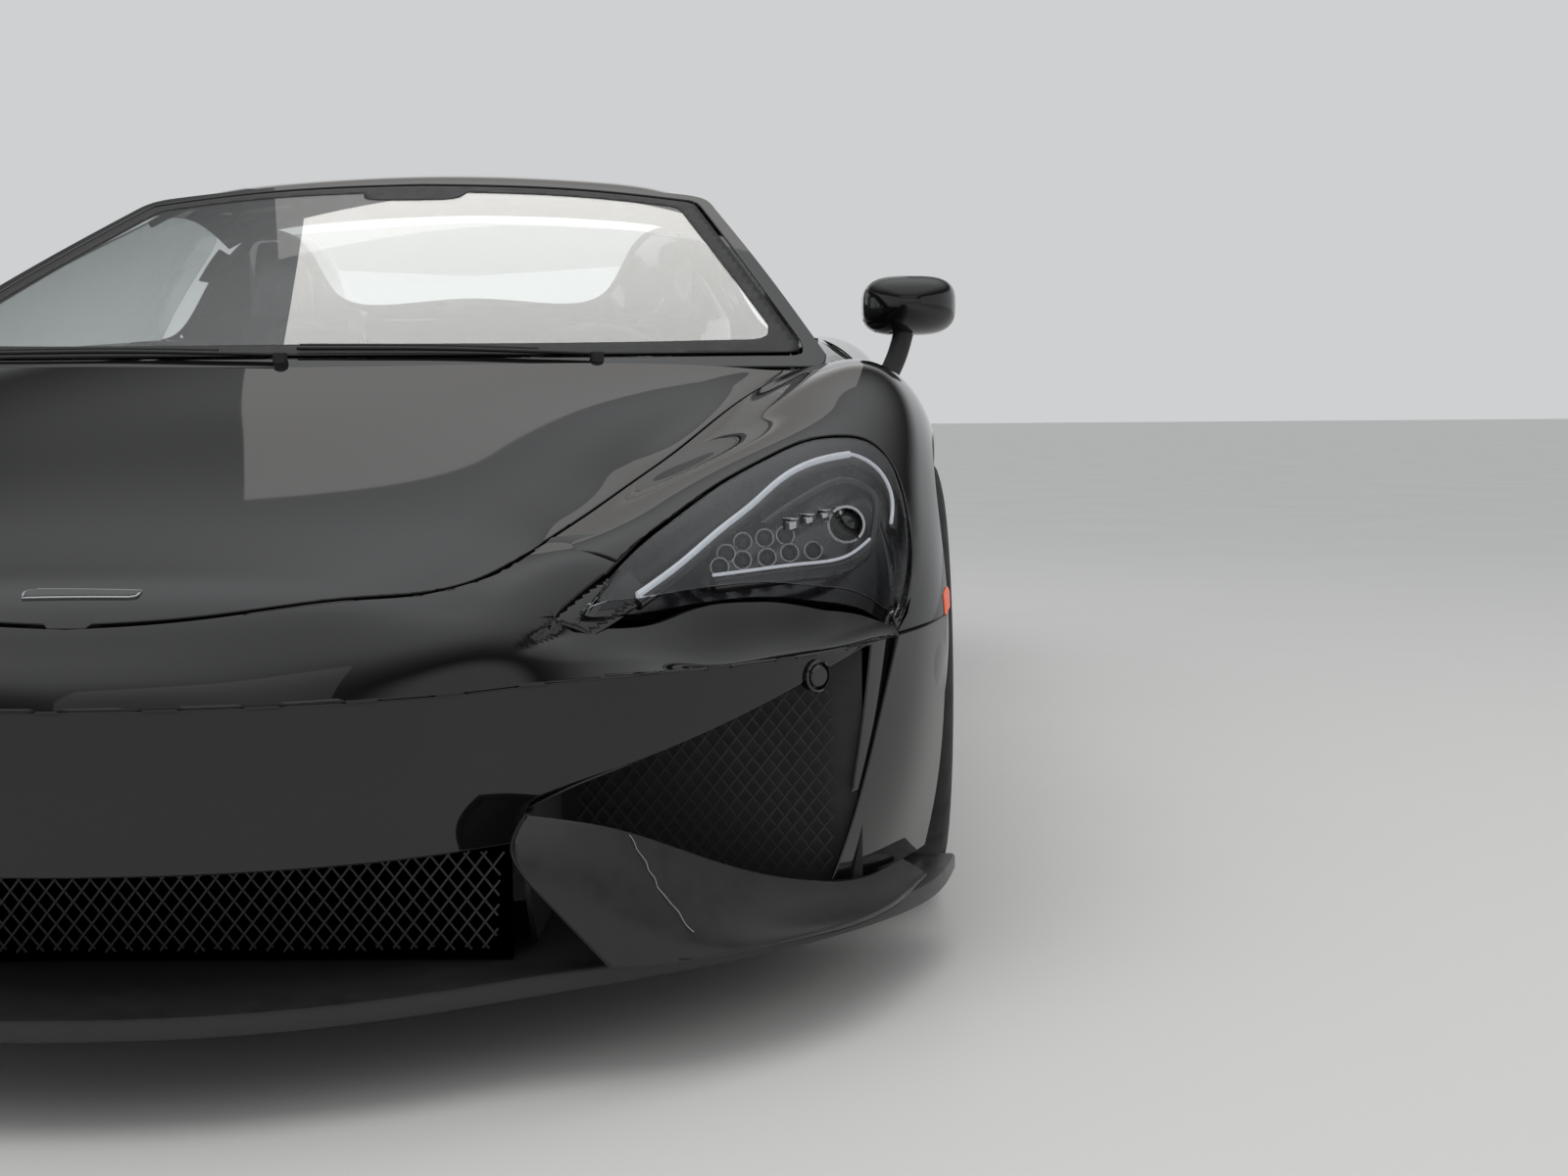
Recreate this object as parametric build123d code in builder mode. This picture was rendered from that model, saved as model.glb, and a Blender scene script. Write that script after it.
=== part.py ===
"""A mid-engined two-seat convertible supercar with a folding hard top, shown closed.

Frame: +X forward, +Y to the car's left, +Z up, origin on the ground under the middle of the car.
All sizes are millimetres. The outer skin is drawn by styling lines that run from nose to tail; every
body section is a smooth curve through those lines, and each panel is a loft of such sections, cut
along its shut lines.
"""

import math
import os

import numpy as np
from build123d import *

os.makedirs("parts", exist_ok=True)

# ---------------------------------------------------------------- driving dimensions
LENGTH = 4530.0
WHEELBASE = 2670.0
FRONT_OVERHANG = 1095.0
ROOF_HEIGHT = 1202.0

FRONT_AXLE = LENGTH / 2 - FRONT_OVERHANG
REAR_AXLE = FRONT_AXLE - WHEELBASE

FRONT_TRACK = 1673.0
REAR_TRACK = 1618.0
FRONT_TYRE = dict(radius=320.0, width=225.0, rim=241.3)
REAR_TYRE = dict(radius=354.0, width=285.0, rim=254.0)
ARCH_GAP = 34.0
NOSE_SPLIT = 424.0
PLATE_HEIGHT = 430.0
TOW_SOCKET = (-330, 225)

SHUT_GAP = 6.0
SKIN = 18.0
DOOR_WALL = 60.0
GLASS = 5.0
SEAT_GAP = 0.3

STEER_DEG = 32.0


# ---------------------------------------------------------------- smooth curves
def natural_spline(xs, ys):
    """The natural cubic spline through the points, as a function."""
    xs, ys = np.array(xs, float), np.array(ys, float)
    n = len(xs)
    h = np.diff(xs)
    a = np.zeros((n, n))
    b = np.zeros(n)
    a[0, 0] = a[-1, -1] = 1.0
    for i in range(1, n - 1):
        a[i, i - 1 : i + 2] = h[i - 1], 2 * (h[i - 1] + h[i]), h[i]
        b[i] = 6 * ((ys[i + 1] - ys[i]) / h[i] - (ys[i] - ys[i - 1]) / h[i - 1])
    m = np.linalg.solve(a, b)

    def value(x):
        i = int(np.clip(np.searchsorted(xs, x) - 1, 0, n - 2))
        p, q = xs[i + 1] - x, x - xs[i]
        return float(
            (m[i] * p**3 + m[i + 1] * q**3) / (6 * h[i])
            + (ys[i] / h[i] - m[i] * h[i] / 6) * p
            + (ys[i + 1] / h[i] - m[i + 1] * h[i] / 6) * q
        )

    return value


class StylingLine:
    """A line along the body: y and z as smooth functions of x."""

    def __init__(self, *points):
        xs, ys, zs = zip(*sorted(points))
        self.y, self.z = natural_spline(xs, ys), natural_spline(xs, zs)

    def at(self, x):
        return (self.y(x), self.z(x))


def through(points, steps=4):
    """Points along the smooth curve through a section's points, steps to a span."""
    p = np.array(points, float)
    s = np.concatenate([[0], np.cumsum(np.sqrt(np.hypot(*np.diff(p, axis=0).T)))])
    fy, fz = natural_spline(s, p[:, 0]), natural_spline(s, p[:, 1])
    at = np.concatenate([np.linspace(a, b, steps, endpoint=False) for a, b in zip(s, s[1:])] + [[s[-1]]])
    return np.array([(fy(v), fz(v)) for v in at])


def inset(points, thickness):
    """The same curve moved to its right-hand side."""
    d = np.gradient(points, axis=0)
    d /= np.hypot(d[:, 0], d[:, 1])[:, None]
    return points - np.stack([-d[:, 1], d[:, 0]], 1) * thickness


def wall_section(plane, points, thickness, first=0, last=None):
    """A thin closed profile on the plane, on the right-hand side of the curve through the points.

    The whole curve is worked out, and the profile covers it from the first point to the last.
    """
    steps, stride = 4, 2
    curve = through(points, steps)
    last = len(points) if last is None else last
    keep = slice(first * steps, last * steps + 1, stride)
    outer, inner = curve[keep], inset(curve, thickness)[keep]
    with BuildSketch(plane) as section:
        with BuildLine():
            Spline(*[tuple(p) for p in outer])
            Line(tuple(outer[-1]), tuple(inner[-1]))
            Spline(*[tuple(p) for p in inner[::-1]])
            Line(tuple(inner[0]), tuple(outer[0]))
        make_face()
    return section.sketch


def both_sides(points):
    """A half section from the centreline outwards, made whole."""
    return [(-y, z) for y, z in points[:0:-1]] + list(points)


# ---------------------------------------------------------------- styling lines, front of the body
CENTRE = StylingLine(
    (2200, 0, 455), (2150, 0, 503), (2050, 0, 546), (1900, 0, 588), (1700, 0, 640), (1400, 0, 713), (1110, 0, 790), (900, 0, 840), (600, 0, 900)
)
CREASE = StylingLine(
    (2200, 95, 452), (2150, 180, 495), (2050, 265, 534), (1900, 338, 573), (1750, 385, 608), (1600, 425, 642), (1400, 477, 688), (1170, 555, 742),
    (1000, 625, 775), (850, 690, 795), (600, 740, 815)
)
VALLEY = StylingLine(
    (2200, 135, 446), (2150, 245, 480), (2050, 345, 513), (1888, 438, 554), (1750, 478, 583), (1600, 520, 615), (1400, 571, 655), (1170, 650, 722),
    (1000, 715, 762), (850, 765, 783), (600, 795, 795)
)
CROWN = StylingLine(
    (2200, 165, 438), (2150, 290, 458), (2050, 415, 485), (1900, 515, 545), (1750, 602, 597), (1600, 705, 655), (1500, 765, 688), (1400, 800, 718),
    (1300, 818, 748), (1170, 830, 775), (1000, 838, 787), (850, 840, 785), (600, 832, 788)
)
SHOULDER = StylingLine(
    (2200, 182, 428), (2150, 312, 440), (2050, 442, 456), (1900, 592, 490), (1750, 735, 530), (1600, 850, 572), (1450, 905, 615), (1300, 925, 665),
    (1170, 932, 695), (1000, 935, 705), (850, 930, 705), (600, 918, 706)
)
SIDE = StylingLine(
    (2200, 190, 418), (2150, 325, 418), (2050, 458, 420), (1900, 650, 425), (1750, 810, 430), (1600, 910, 436), (1450, 945, 448), (1300, 955, 468),
    (1170, 958, 485), (1000, 956, 492), (850, 952, 496), (600, 942, 505)
)
FRONT_LOWER = StylingLine((2200, 190, 330), (1905, 650, 330), (1750, 806, 322), (1600, 905, 315), (1450, 938, 310), (1170, 950, 310), (850, 944, 310), (600, 940, 310))
FRONT_EDGE = StylingLine((2200, 190, 225), (1905, 640, 225), (1750, 792, 225), (1600, 885, 225), (1450, 915, 225), (1170, 922, 225), (600, 915, 225))
FRONT_LINES = [CENTRE, CREASE, VALLEY, CROWN, SHOULDER, SIDE]
FENDER_LINES = FRONT_LINES + [FRONT_LOWER, FRONT_EDGE]

# styling lines, doors
BELT = StylingLine((700, 835, 785), (400, 812, 812), (100, 795, 838), (-200, 785, 858), (-500, 790, 874))
DOOR_SHOULDER = StylingLine((700, 920, 706), (400, 908, 716), (100, 895, 728), (-200, 890, 745), (-500, 895, 768))
SCALLOP = StylingLine((700, 946, 505), (400, 930, 520), (100, 900, 535), (-200, 868, 545), (-500, 838, 550))
DOOR_LOWER = StylingLine((700, 938, 310), (400, 936, 310), (100, 938, 310), (-200, 944, 310), (-500, 950, 310))
SILL_EDGE = StylingLine((850, 905, 140), (400, 905, 140), (-500, 905, 140), (-1100, 905, 150))

# styling lines, tail
DECK = StylingLine((-440, 0, 965), (-800, 0, 940), (-1100, 0, 912), (-1500, 0, 880), (-1900, 0, 862), (-2250, 0, 856))
DECK_VALLEY = StylingLine((-440, 290, 968), (-800, 290, 942), (-1100, 290, 914), (-1500, 300, 882), (-1900, 300, 862), (-2250, 290, 855))
BUTTRESS_IN = StylingLine((-440, 370, 1085), (-800, 370, 1036), (-1100, 375, 970), (-1500, 385, 896), (-1900, 390, 862), (-2250, 380, 853))
BUTTRESS_TOP = StylingLine((-440, 470, 1120), (-800, 465, 1068), (-1100, 465, 993), (-1500, 470, 905), (-1900, 470, 862), (-2250, 460, 851))
BUTTRESS_OUT = StylingLine((-440, 590, 1010), (-800, 585, 975), (-1100, 585, 930), (-1500, 585, 890), (-1900, 575, 858), (-2250, 560, 848))
DECK_EDGE = StylingLine((-440, 680, 885), (-800, 685, 885), (-1100, 690, 885), (-1500, 690, 882), (-1900, 680, 858), (-2250, 650, 845))
HAUNCH = StylingLine(
    (-440, 790, 868), (-700, 800, 880), (-1000, 812, 893), (-1300, 820, 900), (-1500, 822, 899), (-1700, 818, 890), (-1900, 805, 872),
    (-2100, 780, 852), (-2250, 740, 836)
)
REAR_SHOULDER = StylingLine(
    (-440, 905, 765), (-700, 918, 790), (-1000, 938, 810), (-1300, 948, 815), (-1500, 950, 812), (-1700, 944, 802), (-1900, 924, 786),
    (-2100, 885, 766), (-2250, 840, 752)
)
REAR_SIDE = StylingLine(
    (-440, 938, 560), (-700, 948, 560), (-1000, 956, 560), (-1300, 959, 560), (-1500, 959, 562), (-1700, 954, 566), (-1900, 936, 576),
    (-2100, 897, 590), (-2250, 852, 600)
)
REAR_LOWER = StylingLine((-440, 948, 320), (-1000, 954, 330), (-1500, 955, 350), (-1900, 930, 370), (-2100, 890, 380), (-2250, 845, 390))
REAR_EDGE = StylingLine((-440, 915, 150), (-1000, 925, 160), (-1500, 925, 180), (-1900, 905, 190), (-2250, 820, 200))
REAR_LINES = [DECK, DECK_VALLEY, BUTTRESS_IN, BUTTRESS_TOP, BUTTRESS_OUT, DECK_EDGE, HAUNCH, REAR_SHOULDER, REAR_SIDE, REAR_LOWER, REAR_EDGE]
DOOR_LINES = [BELT, DOOR_SHOULDER, SCALLOP, DOOR_LOWER]

# ---------------------------------------------------------------- outlines of the panels
NOSE_PLAN = [(2221, 0), (2203, 165), (2145, 330), (2080, 419), (1950, 625), (1800, 795), (1660, 885), (1535, 934)]
BONNET_SLOPE = (0.23, 0, 1)


def mirrored_outline(points):
    """A closed outline drawn on the car's left from the centreline to the centreline, made whole."""
    return [(x, -y) for x, y in points[::-1] if y > 0] + list(points)


def bonnet_outline():
    """The bonnet's edge seen from above."""
    side = [(x, VALLEY.y(x)) for x in (1888, 1750, 1600, 1400, 1170, 1000)]
    front = [(2156, 0), (2135, 160), (2050, 330), (1905, 425)]
    rear = [(918, 745), (970, 660), (1050, 500), (1104, 350), (1142, 180), (1156, 0)]
    return front + side + rear


def sheared(points):
    """The bonnet's outline where its sloping edge meets the plane 100 above the ground."""
    slope = BONNET_SLOPE[0]
    return mirrored_outline([(x - slope * (CREASE.z(x) - 100), y) for x, y in points])


HEADLIGHT_UPPER = [(1968, 504), (1888, 539), (1782, 591), (1690, 642), (1612, 701), (1556, 747), (1518, 796)]
HEADLIGHT_BACK = [(1496, 838), (1504, 864), (1536, 878), (1582, 884), (1630, 878), (1672, 863), (1692, 845)]
HEADLIGHT_LOWER = [(1714, 814), (1758, 761), (1802, 703), (1878, 611), (1924, 558)]
HEADLIGHT_OUTLINE = HEADLIGHT_UPPER + HEADLIGHT_BACK + HEADLIGHT_LOWER


DOOR_OUTLINE = [(690, 788), (702, 560), (690, 300), (640, 240), (-310, 236), (-360, 300), (-405, 560), (-440, 800), (-445, 880)]


def save(part, name):
    """Labels the part and writes its STEP file."""
    part.label = name
    export_step(part, f"parts/{name}.step")


def skin(stations, lines, first, last):
    """The body's skin between two of its styling lines, counted from the centre; right of it is negative."""
    sections = []
    for x in stations:
        points = both_sides([line.at(x) for line in lines])
        middle = len(lines) - 1
        sections.append(wall_section(Plane.YZ.offset(x), points, SKIN, middle + first, middle + last))
    return loft(sections)


def side_section(x, lines, thickness):
    """A section at x of one side panel, on the car's left."""
    return wall_section(Plane.YZ.offset(x), [line.at(x) for line in lines], thickness)


# ---------------------------------------------------------------- front skin
FRONT_STATIONS = (2196, 2150, 2050, 1900, 1750, 1600, 1450, 1300, 1170, 1000, 850, 700)

def column(plane, outline, gap, reach, direction=None):
    """A solid that runs through an outline drawn on the plane, its edge moved outwards by the gap."""
    with BuildPart(mode=Mode.PRIVATE) as through_it:
        with BuildSketch(plane):
            with BuildLine():
                Polyline(*outline, close=True)
            make_face()
            if gap:
                offset(amount=gap, kind=Kind.INTERSECTION)
        extrude(amount=reach, dir=direction)
    return through_it.part


BONNET_PLANE = Plane.XY.offset(100)
bonnet_prism = column(BONNET_PLANE, sheared(bonnet_outline()), 0, 900, BONNET_SLOPE)
bonnet_hole = column(BONNET_PLANE, sheared(bonnet_outline()), SHUT_GAP, 900, BONNET_SLOPE)
headlight_prism = column(Plane.XY.offset(300), HEADLIGHT_OUTLINE, 0, 600)
headlight_hole = column(Plane.XY.offset(300), HEADLIGHT_OUTLINE, SEAT_GAP, 600)
headlight_holes = headlight_hole + headlight_hole.mirror(Plane.XZ)

with BuildPart() as front_arches:
    with BuildSketch(Plane.XZ.offset(-1100)):
        with Locations((FRONT_AXLE, FRONT_TYRE["radius"])):
            Circle(FRONT_TYRE["radius"] + ARCH_GAP)
    extrude(amount=520)
    left_arch = front_arches.part
    mirror(about=Plane.XZ)

# the nose panel lies ahead of a line across the car, the fenders behind it
NOSE_ZONE = [(2300, 0), (2300, 700), (1905, 700), (1905, 425), (1905, 0)]
with BuildPart() as nose_zone:
    with BuildSketch(Plane.XY.offset(300)):
        with BuildLine():
            Polyline(*mirrored_outline(NOSE_ZONE), close=True)
        make_face()
    extrude(amount=500)

with BuildPart() as bonnet:
    skin(FRONT_STATIONS, FRONT_LINES, -3, 3)
    add(bonnet_prism, mode=Mode.INTERSECT)
save(bonnet.part, "bonnet")


def face_section(level, back):
    """The bumper's wall seen from above at one level, moved back from the nose edge."""
    plan = [(x - back, y) for x, y in NOSE_PLAN[::-1]]
    return wall_section(Plane.XY.offset(level), plan + [(x, -y) for x, y in plan[-2::-1]], SKIN)


FACE_LEVELS = [(125.3, 10), (200, 10), (249, 10), (330, 4), (NOSE_SPLIT, 0)]
CENTRE_INTAKE = [(-405, 132), (405, 132), (425, 249), (-425, 249)]
CORNER_INTAKE = [(590, 400), (868, 400), (850, 268), (560, 245), (540, 180), (545, 320)]
with BuildPart() as front_bumper:
    skin(FRONT_STATIONS[:4], FRONT_LINES, -5, 5)
    add(nose_zone.part, mode=Mode.INTERSECT)
    add(bonnet_hole, mode=Mode.SUBTRACT)
    loft([face_section(level, back) for level, back in FACE_LEVELS])
    add(headlight_holes, mode=Mode.SUBTRACT)
    add(front_arches.part, mode=Mode.SUBTRACT)
    with BuildSketch(Plane.YZ.offset(1500)):
        with BuildLine():
            Polyline(*CENTRE_INTAKE, close=True)
        make_face()
        with BuildLine():
            Polyline((560, 180), (545, 300), (590, 395), (850, 400), (835, 290), close=True)
        make_face()
        with BuildLine():
            Polyline((-560, 180), (-545, 300), (-590, 395), (-850, 400), (-835, 290), close=True)
        make_face()
    extrude(amount=900, mode=Mode.SUBTRACT)
save(front_bumper.part, "front_bumper")

with BuildPart() as front_splitter:
    with BuildSketch(Plane.XY.offset(98)):
        with BuildLine():
            Spline((2265, 0), (2248, 165), (2190, 330), (2120, 440), (1985, 650), (1830, 815), (1690, 905), (1560, 945))
            Polyline((1560, 945), (1560, 700), (1700, 560), (1900, 0), (2265, 0))
        make_face()
    extrude(amount=27)
    add(front_arches.part, mode=Mode.SUBTRACT)
    mirror(about=Plane.XZ)
save(front_splitter.part, "front_splitter")

# ---------------------------------------------------------------- the door's edge, a slanting cut through the side
DOOR_SWEEP = (-0.3, 1, 0)
BODY_SIDES = (1, -1)


def door_sheared(points):
    """The door's outline where its slanting edge meets the plane 500 out from the centreline."""
    return [(x - 0.3 * (500 - 900), z) for x, z in points]


door_plane = Plane.XZ.offset(-500)
door_prism = column(door_plane, door_sheared(DOOR_OUTLINE), 0, 520, DOOR_SWEEP)
door_hole = column(door_plane, door_sheared(DOOR_OUTLINE), SHUT_GAP, 520, DOOR_SWEEP)

# ---------------------------------------------------------------- front fenders and headlights
with BuildPart() as door_front_cut:
    with BuildSketch(Plane.XZ.offset(-1100)):
        with BuildLine():
            Polyline((600, 100), (690 + 3 * SHUT_GAP, 100), (690 + SHUT_GAP, 300), (702 + SHUT_GAP, 560), (690 + SHUT_GAP, 900), (600, 900), close=True)
        make_face()
    extrude(amount=520)
    mirror(about=Plane.XZ)

with BuildPart() as front_fenders:
    skin(FRONT_STATIONS[3:], FENDER_LINES, 1, 7)
    add(left_arch, mode=Mode.SUBTRACT)
    with Locations((1900, 900, 100)):
        Box(1200, 1000, 2 * (NOSE_SPLIT + 3 - 100), mode=Mode.SUBTRACT)
    add(bonnet_hole, mode=Mode.SUBTRACT)
    add(nose_zone.part, mode=Mode.SUBTRACT)
    add(headlight_hole, mode=Mode.SUBTRACT)
    add(door_hole, mode=Mode.SUBTRACT)
    add(door_front_cut.part, mode=Mode.SUBTRACT)
    with BuildSketch(Plane.XY.offset(600)):
        with BuildLine():
            Polyline((600, 0), (600, 803), (885, 803), (918, 752), (990, 680), (1070, 510), (1125, 350), (1162, 0), close=True)
        make_face()
    extrude(amount=500, mode=Mode.SUBTRACT)
    mirror(about=Plane.XZ)
save(front_fenders.part, "front_fenders")

with BuildPart() as headlights:
    skin(FRONT_STATIONS[1:8], FRONT_LINES, 1, 5)
    add(headlight_prism, mode=Mode.INTERSECT)
    mirror(about=Plane.XZ)
save(headlights.part, "headlights")

# ---------------------------------------------------------------- doors, their windows and mirrors
DOOR_BOTTOM = StylingLine((700, 915, 225), (-500, 925, 225))
with BuildPart() as door_left:
    loft([side_section(x, DOOR_LINES + [DOOR_BOTTOM], DOOR_WALL) for x in (760, 550, 300, 50, -200, -480)])
    add(door_prism, mode=Mode.INTERSECT)
save(door_left.part, "door_left")
with BuildPart() as door_right:
    mirror(door_left.part, about=Plane.XZ)
save(door_right.part, "door_right")


def window_section(x, reach):
    """A section at x of the side window, a band from inside the door up to the roof."""
    foot, top = (BELT.y(x) - 30, 770), (505, 1170)
    mid = ((foot[0] + top[0]) / 2 + 14, (foot[1] + top[1]) / 2 + 14)
    return wall_section(Plane.YZ.offset(x), [top, mid, foot], reach)


WINDOW_OUTLINE = [(690, 800), (690, 806), (24, 1104), (-100, 1117), (-380, 1107), (-436, 1040), (-440, 870), (-420, 800)]
window_prism = column(Plane.XZ.offset(-1000), WINDOW_OUTLINE, 0, 700)
with BuildPart() as window_left:
    loft([window_section(x, GLASS) for x in (700, 300, -100, -560)])
    add(window_prism, mode=Mode.INTERSECT)
    add(door_left.part, mode=Mode.SUBTRACT)
save(window_left.part, "window_left")
with BuildPart() as window_right:
    mirror(window_left.part, about=Plane.XZ)
save(window_right.part, "window_right")

with BuildPart() as mirror_left:
    with BuildSketch(Plane.YZ.offset(470)):
        with Locations((965, 862)):
            RectangleRounded(130, 74, 24)
    with BuildSketch(Plane.YZ.offset(560)):
        with Locations((960, 862)):
            RectangleRounded(104, 52, 20)
    loft()
    with BuildSketch(Plane.XY.offset(705)):
        with Locations((515, 903)):
            Rectangle(44, 22)
    extrude(amount=150)
    add(door_left.part, mode=Mode.SUBTRACT)
save(mirror_left.part, "mirror_left")
with BuildPart() as mirror_right:
    mirror(mirror_left.part, about=Plane.XZ)
save(mirror_right.part, "mirror_right")

# ---------------------------------------------------------------- tail
REAR_STATIONS = (-456, -700, -1000, -1300, -1500, -1700, -1900, -2100, -2235)


TONNEAU_OUTLINE = mirrored_outline([(-460, 0), (-460, 660), (-700, 686), (-1100, 691), (-1400, 692), (-1500, 640), (-1500, 0)][::-1])
tonneau_prism = column(Plane.XY.offset(700), TONNEAU_OUTLINE, 0, 600)
tonneau_hole = column(Plane.XY.offset(700), TONNEAU_OUTLINE, SHUT_GAP, 600)

with BuildPart() as tonneau_cover:
    skin(REAR_STATIONS[:6], REAR_LINES, -6, 6)
    add(tonneau_prism, mode=Mode.INTERSECT)
save(tonneau_cover.part, "tonneau_cover")

with BuildPart() as rear_arches:
    with BuildSketch(Plane.XZ.offset(-1100)):
        with Locations((REAR_AXLE, REAR_TYRE["radius"])):
            Circle(REAR_TYRE["radius"] + ARCH_GAP)
    extrude(amount=520)
    mirror(about=Plane.XZ)

with BuildPart() as tail_cut:
    with BuildSketch(Plane.XZ.offset(-1100)):
        with BuildLine():
            Polyline((-300, 225), (-2200, 225), (-2120, 560), (-2120, 1300), (-300, 1300), close=True)
        make_face()
    extrude(amount=2200)

with BuildPart() as rear_fenders:
    skin(REAR_STATIONS, REAR_LINES, 4, 10)
    add(tonneau_hole, mode=Mode.SUBTRACT)
    add(tail_cut.part, mode=Mode.INTERSECT)
    with BuildSketch(Plane.XY):
        with Locations((-1850, 0), (-450, 0)):
            Rectangle(703, 1260)
    extrude(amount=1300, mode=Mode.SUBTRACT)
    add(rear_arches.part, mode=Mode.SUBTRACT)
    add(door_hole, mode=Mode.SUBTRACT)
    with BuildSketch(Plane.XZ.offset(-1000)):
        with BuildLine():
            Polyline((-470, 330), (-560, 720), (-660, 690), (-640, 400), close=True)
        make_face()
    extrude(amount=200, mode=Mode.SUBTRACT)
    mirror(about=Plane.XZ)
save(rear_fenders.part, "rear_fenders")

with BuildPart() as tail_sides:
    with BuildSketch(Plane.XZ.offset(-1100)):
        with BuildLine():
            Polyline((-1000, 0), (-2200, 0), (-2200, 225), (-2120, 560), (-2120, 1300), (-1000, 1300), close=True)
        make_face()
    extrude(amount=1100 - 624)
    mirror(about=Plane.XZ)

# the back panel's edge runs down the middle of the skin's thickness
back_middle = inset(through(both_sides([line.at(-2225) for line in REAR_LINES])), SKIN / 2)
back_edge = [p for p in back_middle if p[1] > 330]
back_edge = [(back_edge[0][0], 300)] + back_edge + [(back_edge[-1][0], 300)]
with BuildPart() as rear_bumper:
    skin((-1506, -1700, -1900, -2100, -2235), REAR_LINES, -10, 10)
    add(tail_sides.part, mode=Mode.SUBTRACT)
    with BuildSketch(Plane.XY.offset(100)):
        Rectangle(6000, 3000)
    extrude(amount=200, mode=Mode.SUBTRACT)
    with BuildSketch(Plane.YZ.offset(-2233)):
        with BuildLine():
            Polyline(*[tuple(p) for p in back_edge], close=True)
        make_face()
        with Locations((0, 620)):
            Rectangle(1300, 150, mode=Mode.SUBTRACT)
        with Locations((0, PLATE_HEIGHT)):
            with GridLocations(300, 80, 2, 2):
                Circle(3, mode=Mode.SUBTRACT)
    extrude(amount=20)
save(rear_bumper.part, "rear_bumper")

with BuildPart() as rear_diffuser:
    with BuildSketch(Plane.XZ.offset(-640)):
        with BuildLine():
            Polyline((-1900, 150), (-2205, 299.7), (-2265, 299.7), (-2265, 270), (-1900, 135), close=True)
        make_face()
    extrude(amount=1280)
    for fin in (-450, -225, 0, 225, 450):
        with BuildSketch(Plane.XZ.offset(fin - 4)):
            with BuildLine():
                Polyline((-1920, 138), (-2255, 270), (-2255, 190), (-2100, 128), close=True)
            make_face()
        extrude(amount=8)
save(rear_diffuser.part, "rear_diffuser")

with BuildPart() as tail_lights:
    for side in BODY_SIDES:
        with BuildSketch(Plane.YZ.offset(-2233.3)):
            with BuildLine():
                Polyline((side * 480, 742), (side * 800, 716), (side * 815, 660), (side * 804, 656), (side * 788, 702), (side * 480, 728), close=True)
            make_face()
        extrude(amount=-14)
save(tail_lights.part, "tail_lights")

with BuildPart() as exhaust:
    for side in BODY_SIDES:
        with Locations(Location((-2140, side * 170, 620), (0, 90, 0))):
            Cylinder(52, 230)
            Cylinder(46, 230, mode=Mode.SUBTRACT)
    with Locations((-1990, 0, 620)):
        Box(150, 660, 190)
    for side in BODY_SIDES:
        with Locations((-1990, side * 320, 513)):
            Box(60, 20, 26 - 2 * SEAT_GAP)
save(exhaust.part, "exhaust")

# ---------------------------------------------------------------- windscreen, roof and rear window
SCREEN_RAKE = 2.67
SCREEN_SWEEP = 260.0


def screen_x(y, z):
    """How far forward the windscreen's outer face lies at y and z."""
    return 1110 - SCREEN_SWEEP * (y / 770) ** 2 - SCREEN_RAKE * (z - 791)


def screen_section(y, low, high, thickness):
    """A section of the windscreen's surface at y, a band of the given thickness."""
    heights = [high, (low + high) / 2, low]
    bulge = [0, 22, 0]
    return wall_section(Plane.XZ.offset(-y), [(screen_x(y, z) + b, z) for z, b in zip(heights, bulge)], thickness)


def screen_outline(grow):
    """The glass's edge seen from the front."""
    g = grow
    return [(0, 800 - g), (400, 800 - g), (735 + g, 803 - g), (530 + g, 1118 + g), (300, 1142 + g), (0, 1152 + g)]


def front_column(points, start, length):
    """A column along the car through an outline seen from the front."""
    with BuildPart(mode=Mode.PRIVATE) as column:
        with BuildSketch(Plane.YZ.offset(start)):
            with BuildLine():
                Polyline(*mirrored_points(points), close=True)
            make_face()
        extrude(amount=length)
    return column.part


def mirrored_points(points):
    """A half outline from the centreline out, made whole."""
    return [(-y, z) for y, z in points[::-1] if y > 0] + list(points)


SCREEN_WIDTHS = (-800, -600, -400, -200, 0, 200, 400, 600, 800)
with BuildPart() as windscreen:
    loft([screen_section(y, 770, 1190, GLASS) for y in SCREEN_WIDTHS])
    add(front_column(screen_outline(0), 0, 1300), mode=Mode.INTERSECT)
save(windscreen.part, "windscreen")

FRAME_OUTLINE = [(0, 778), (745, 778), (790, 783), (556, 1128), (420, 1150), (0, 1168)]
with BuildPart() as windscreen_frame:
    loft([screen_section(y, 770, 1190, 26) for y in SCREEN_WIDTHS])
    add(front_column(FRAME_OUTLINE, 0, 1300), mode=Mode.INTERSECT)
    add(front_column(screen_outline(SEAT_GAP), 0, 1300), mode=Mode.SUBTRACT)
save(windscreen_frame.part, "windscreen_frame")

with BuildPart() as roof_panel:
    roof_shape = [(70, 1170), (-70, 1198), (-250, 1192), (-452, 1160)]
    loft([
        wall_section(Plane.YZ.offset(x), both_sides([(0, z), (300, z - 12), (460, z - 34), (540, z - 66)]), 22)
        for x, z in roof_shape
    ])
    with BuildSketch(Plane.XZ.offset(-600)):
        with BuildLine():
            Polyline((-600, 800), (2, 800), (2, 1300), (-600, 1300), close=True)
        make_face()
    extrude(amount=1200, mode=Mode.INTERSECT)
save(roof_panel.part, "roof_panel")

with BuildPart() as rear_window:
    with BuildSketch(Plane.YZ.offset(-452)):
        with BuildLine():
            Polyline((-500, 915), (500, 915), (500, 1080), (440, 1104), (0, 1132), (-440, 1104), (-500, 1080), close=True)
        make_face()
    extrude(amount=GLASS)
save(rear_window.part, "rear_window")

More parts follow.
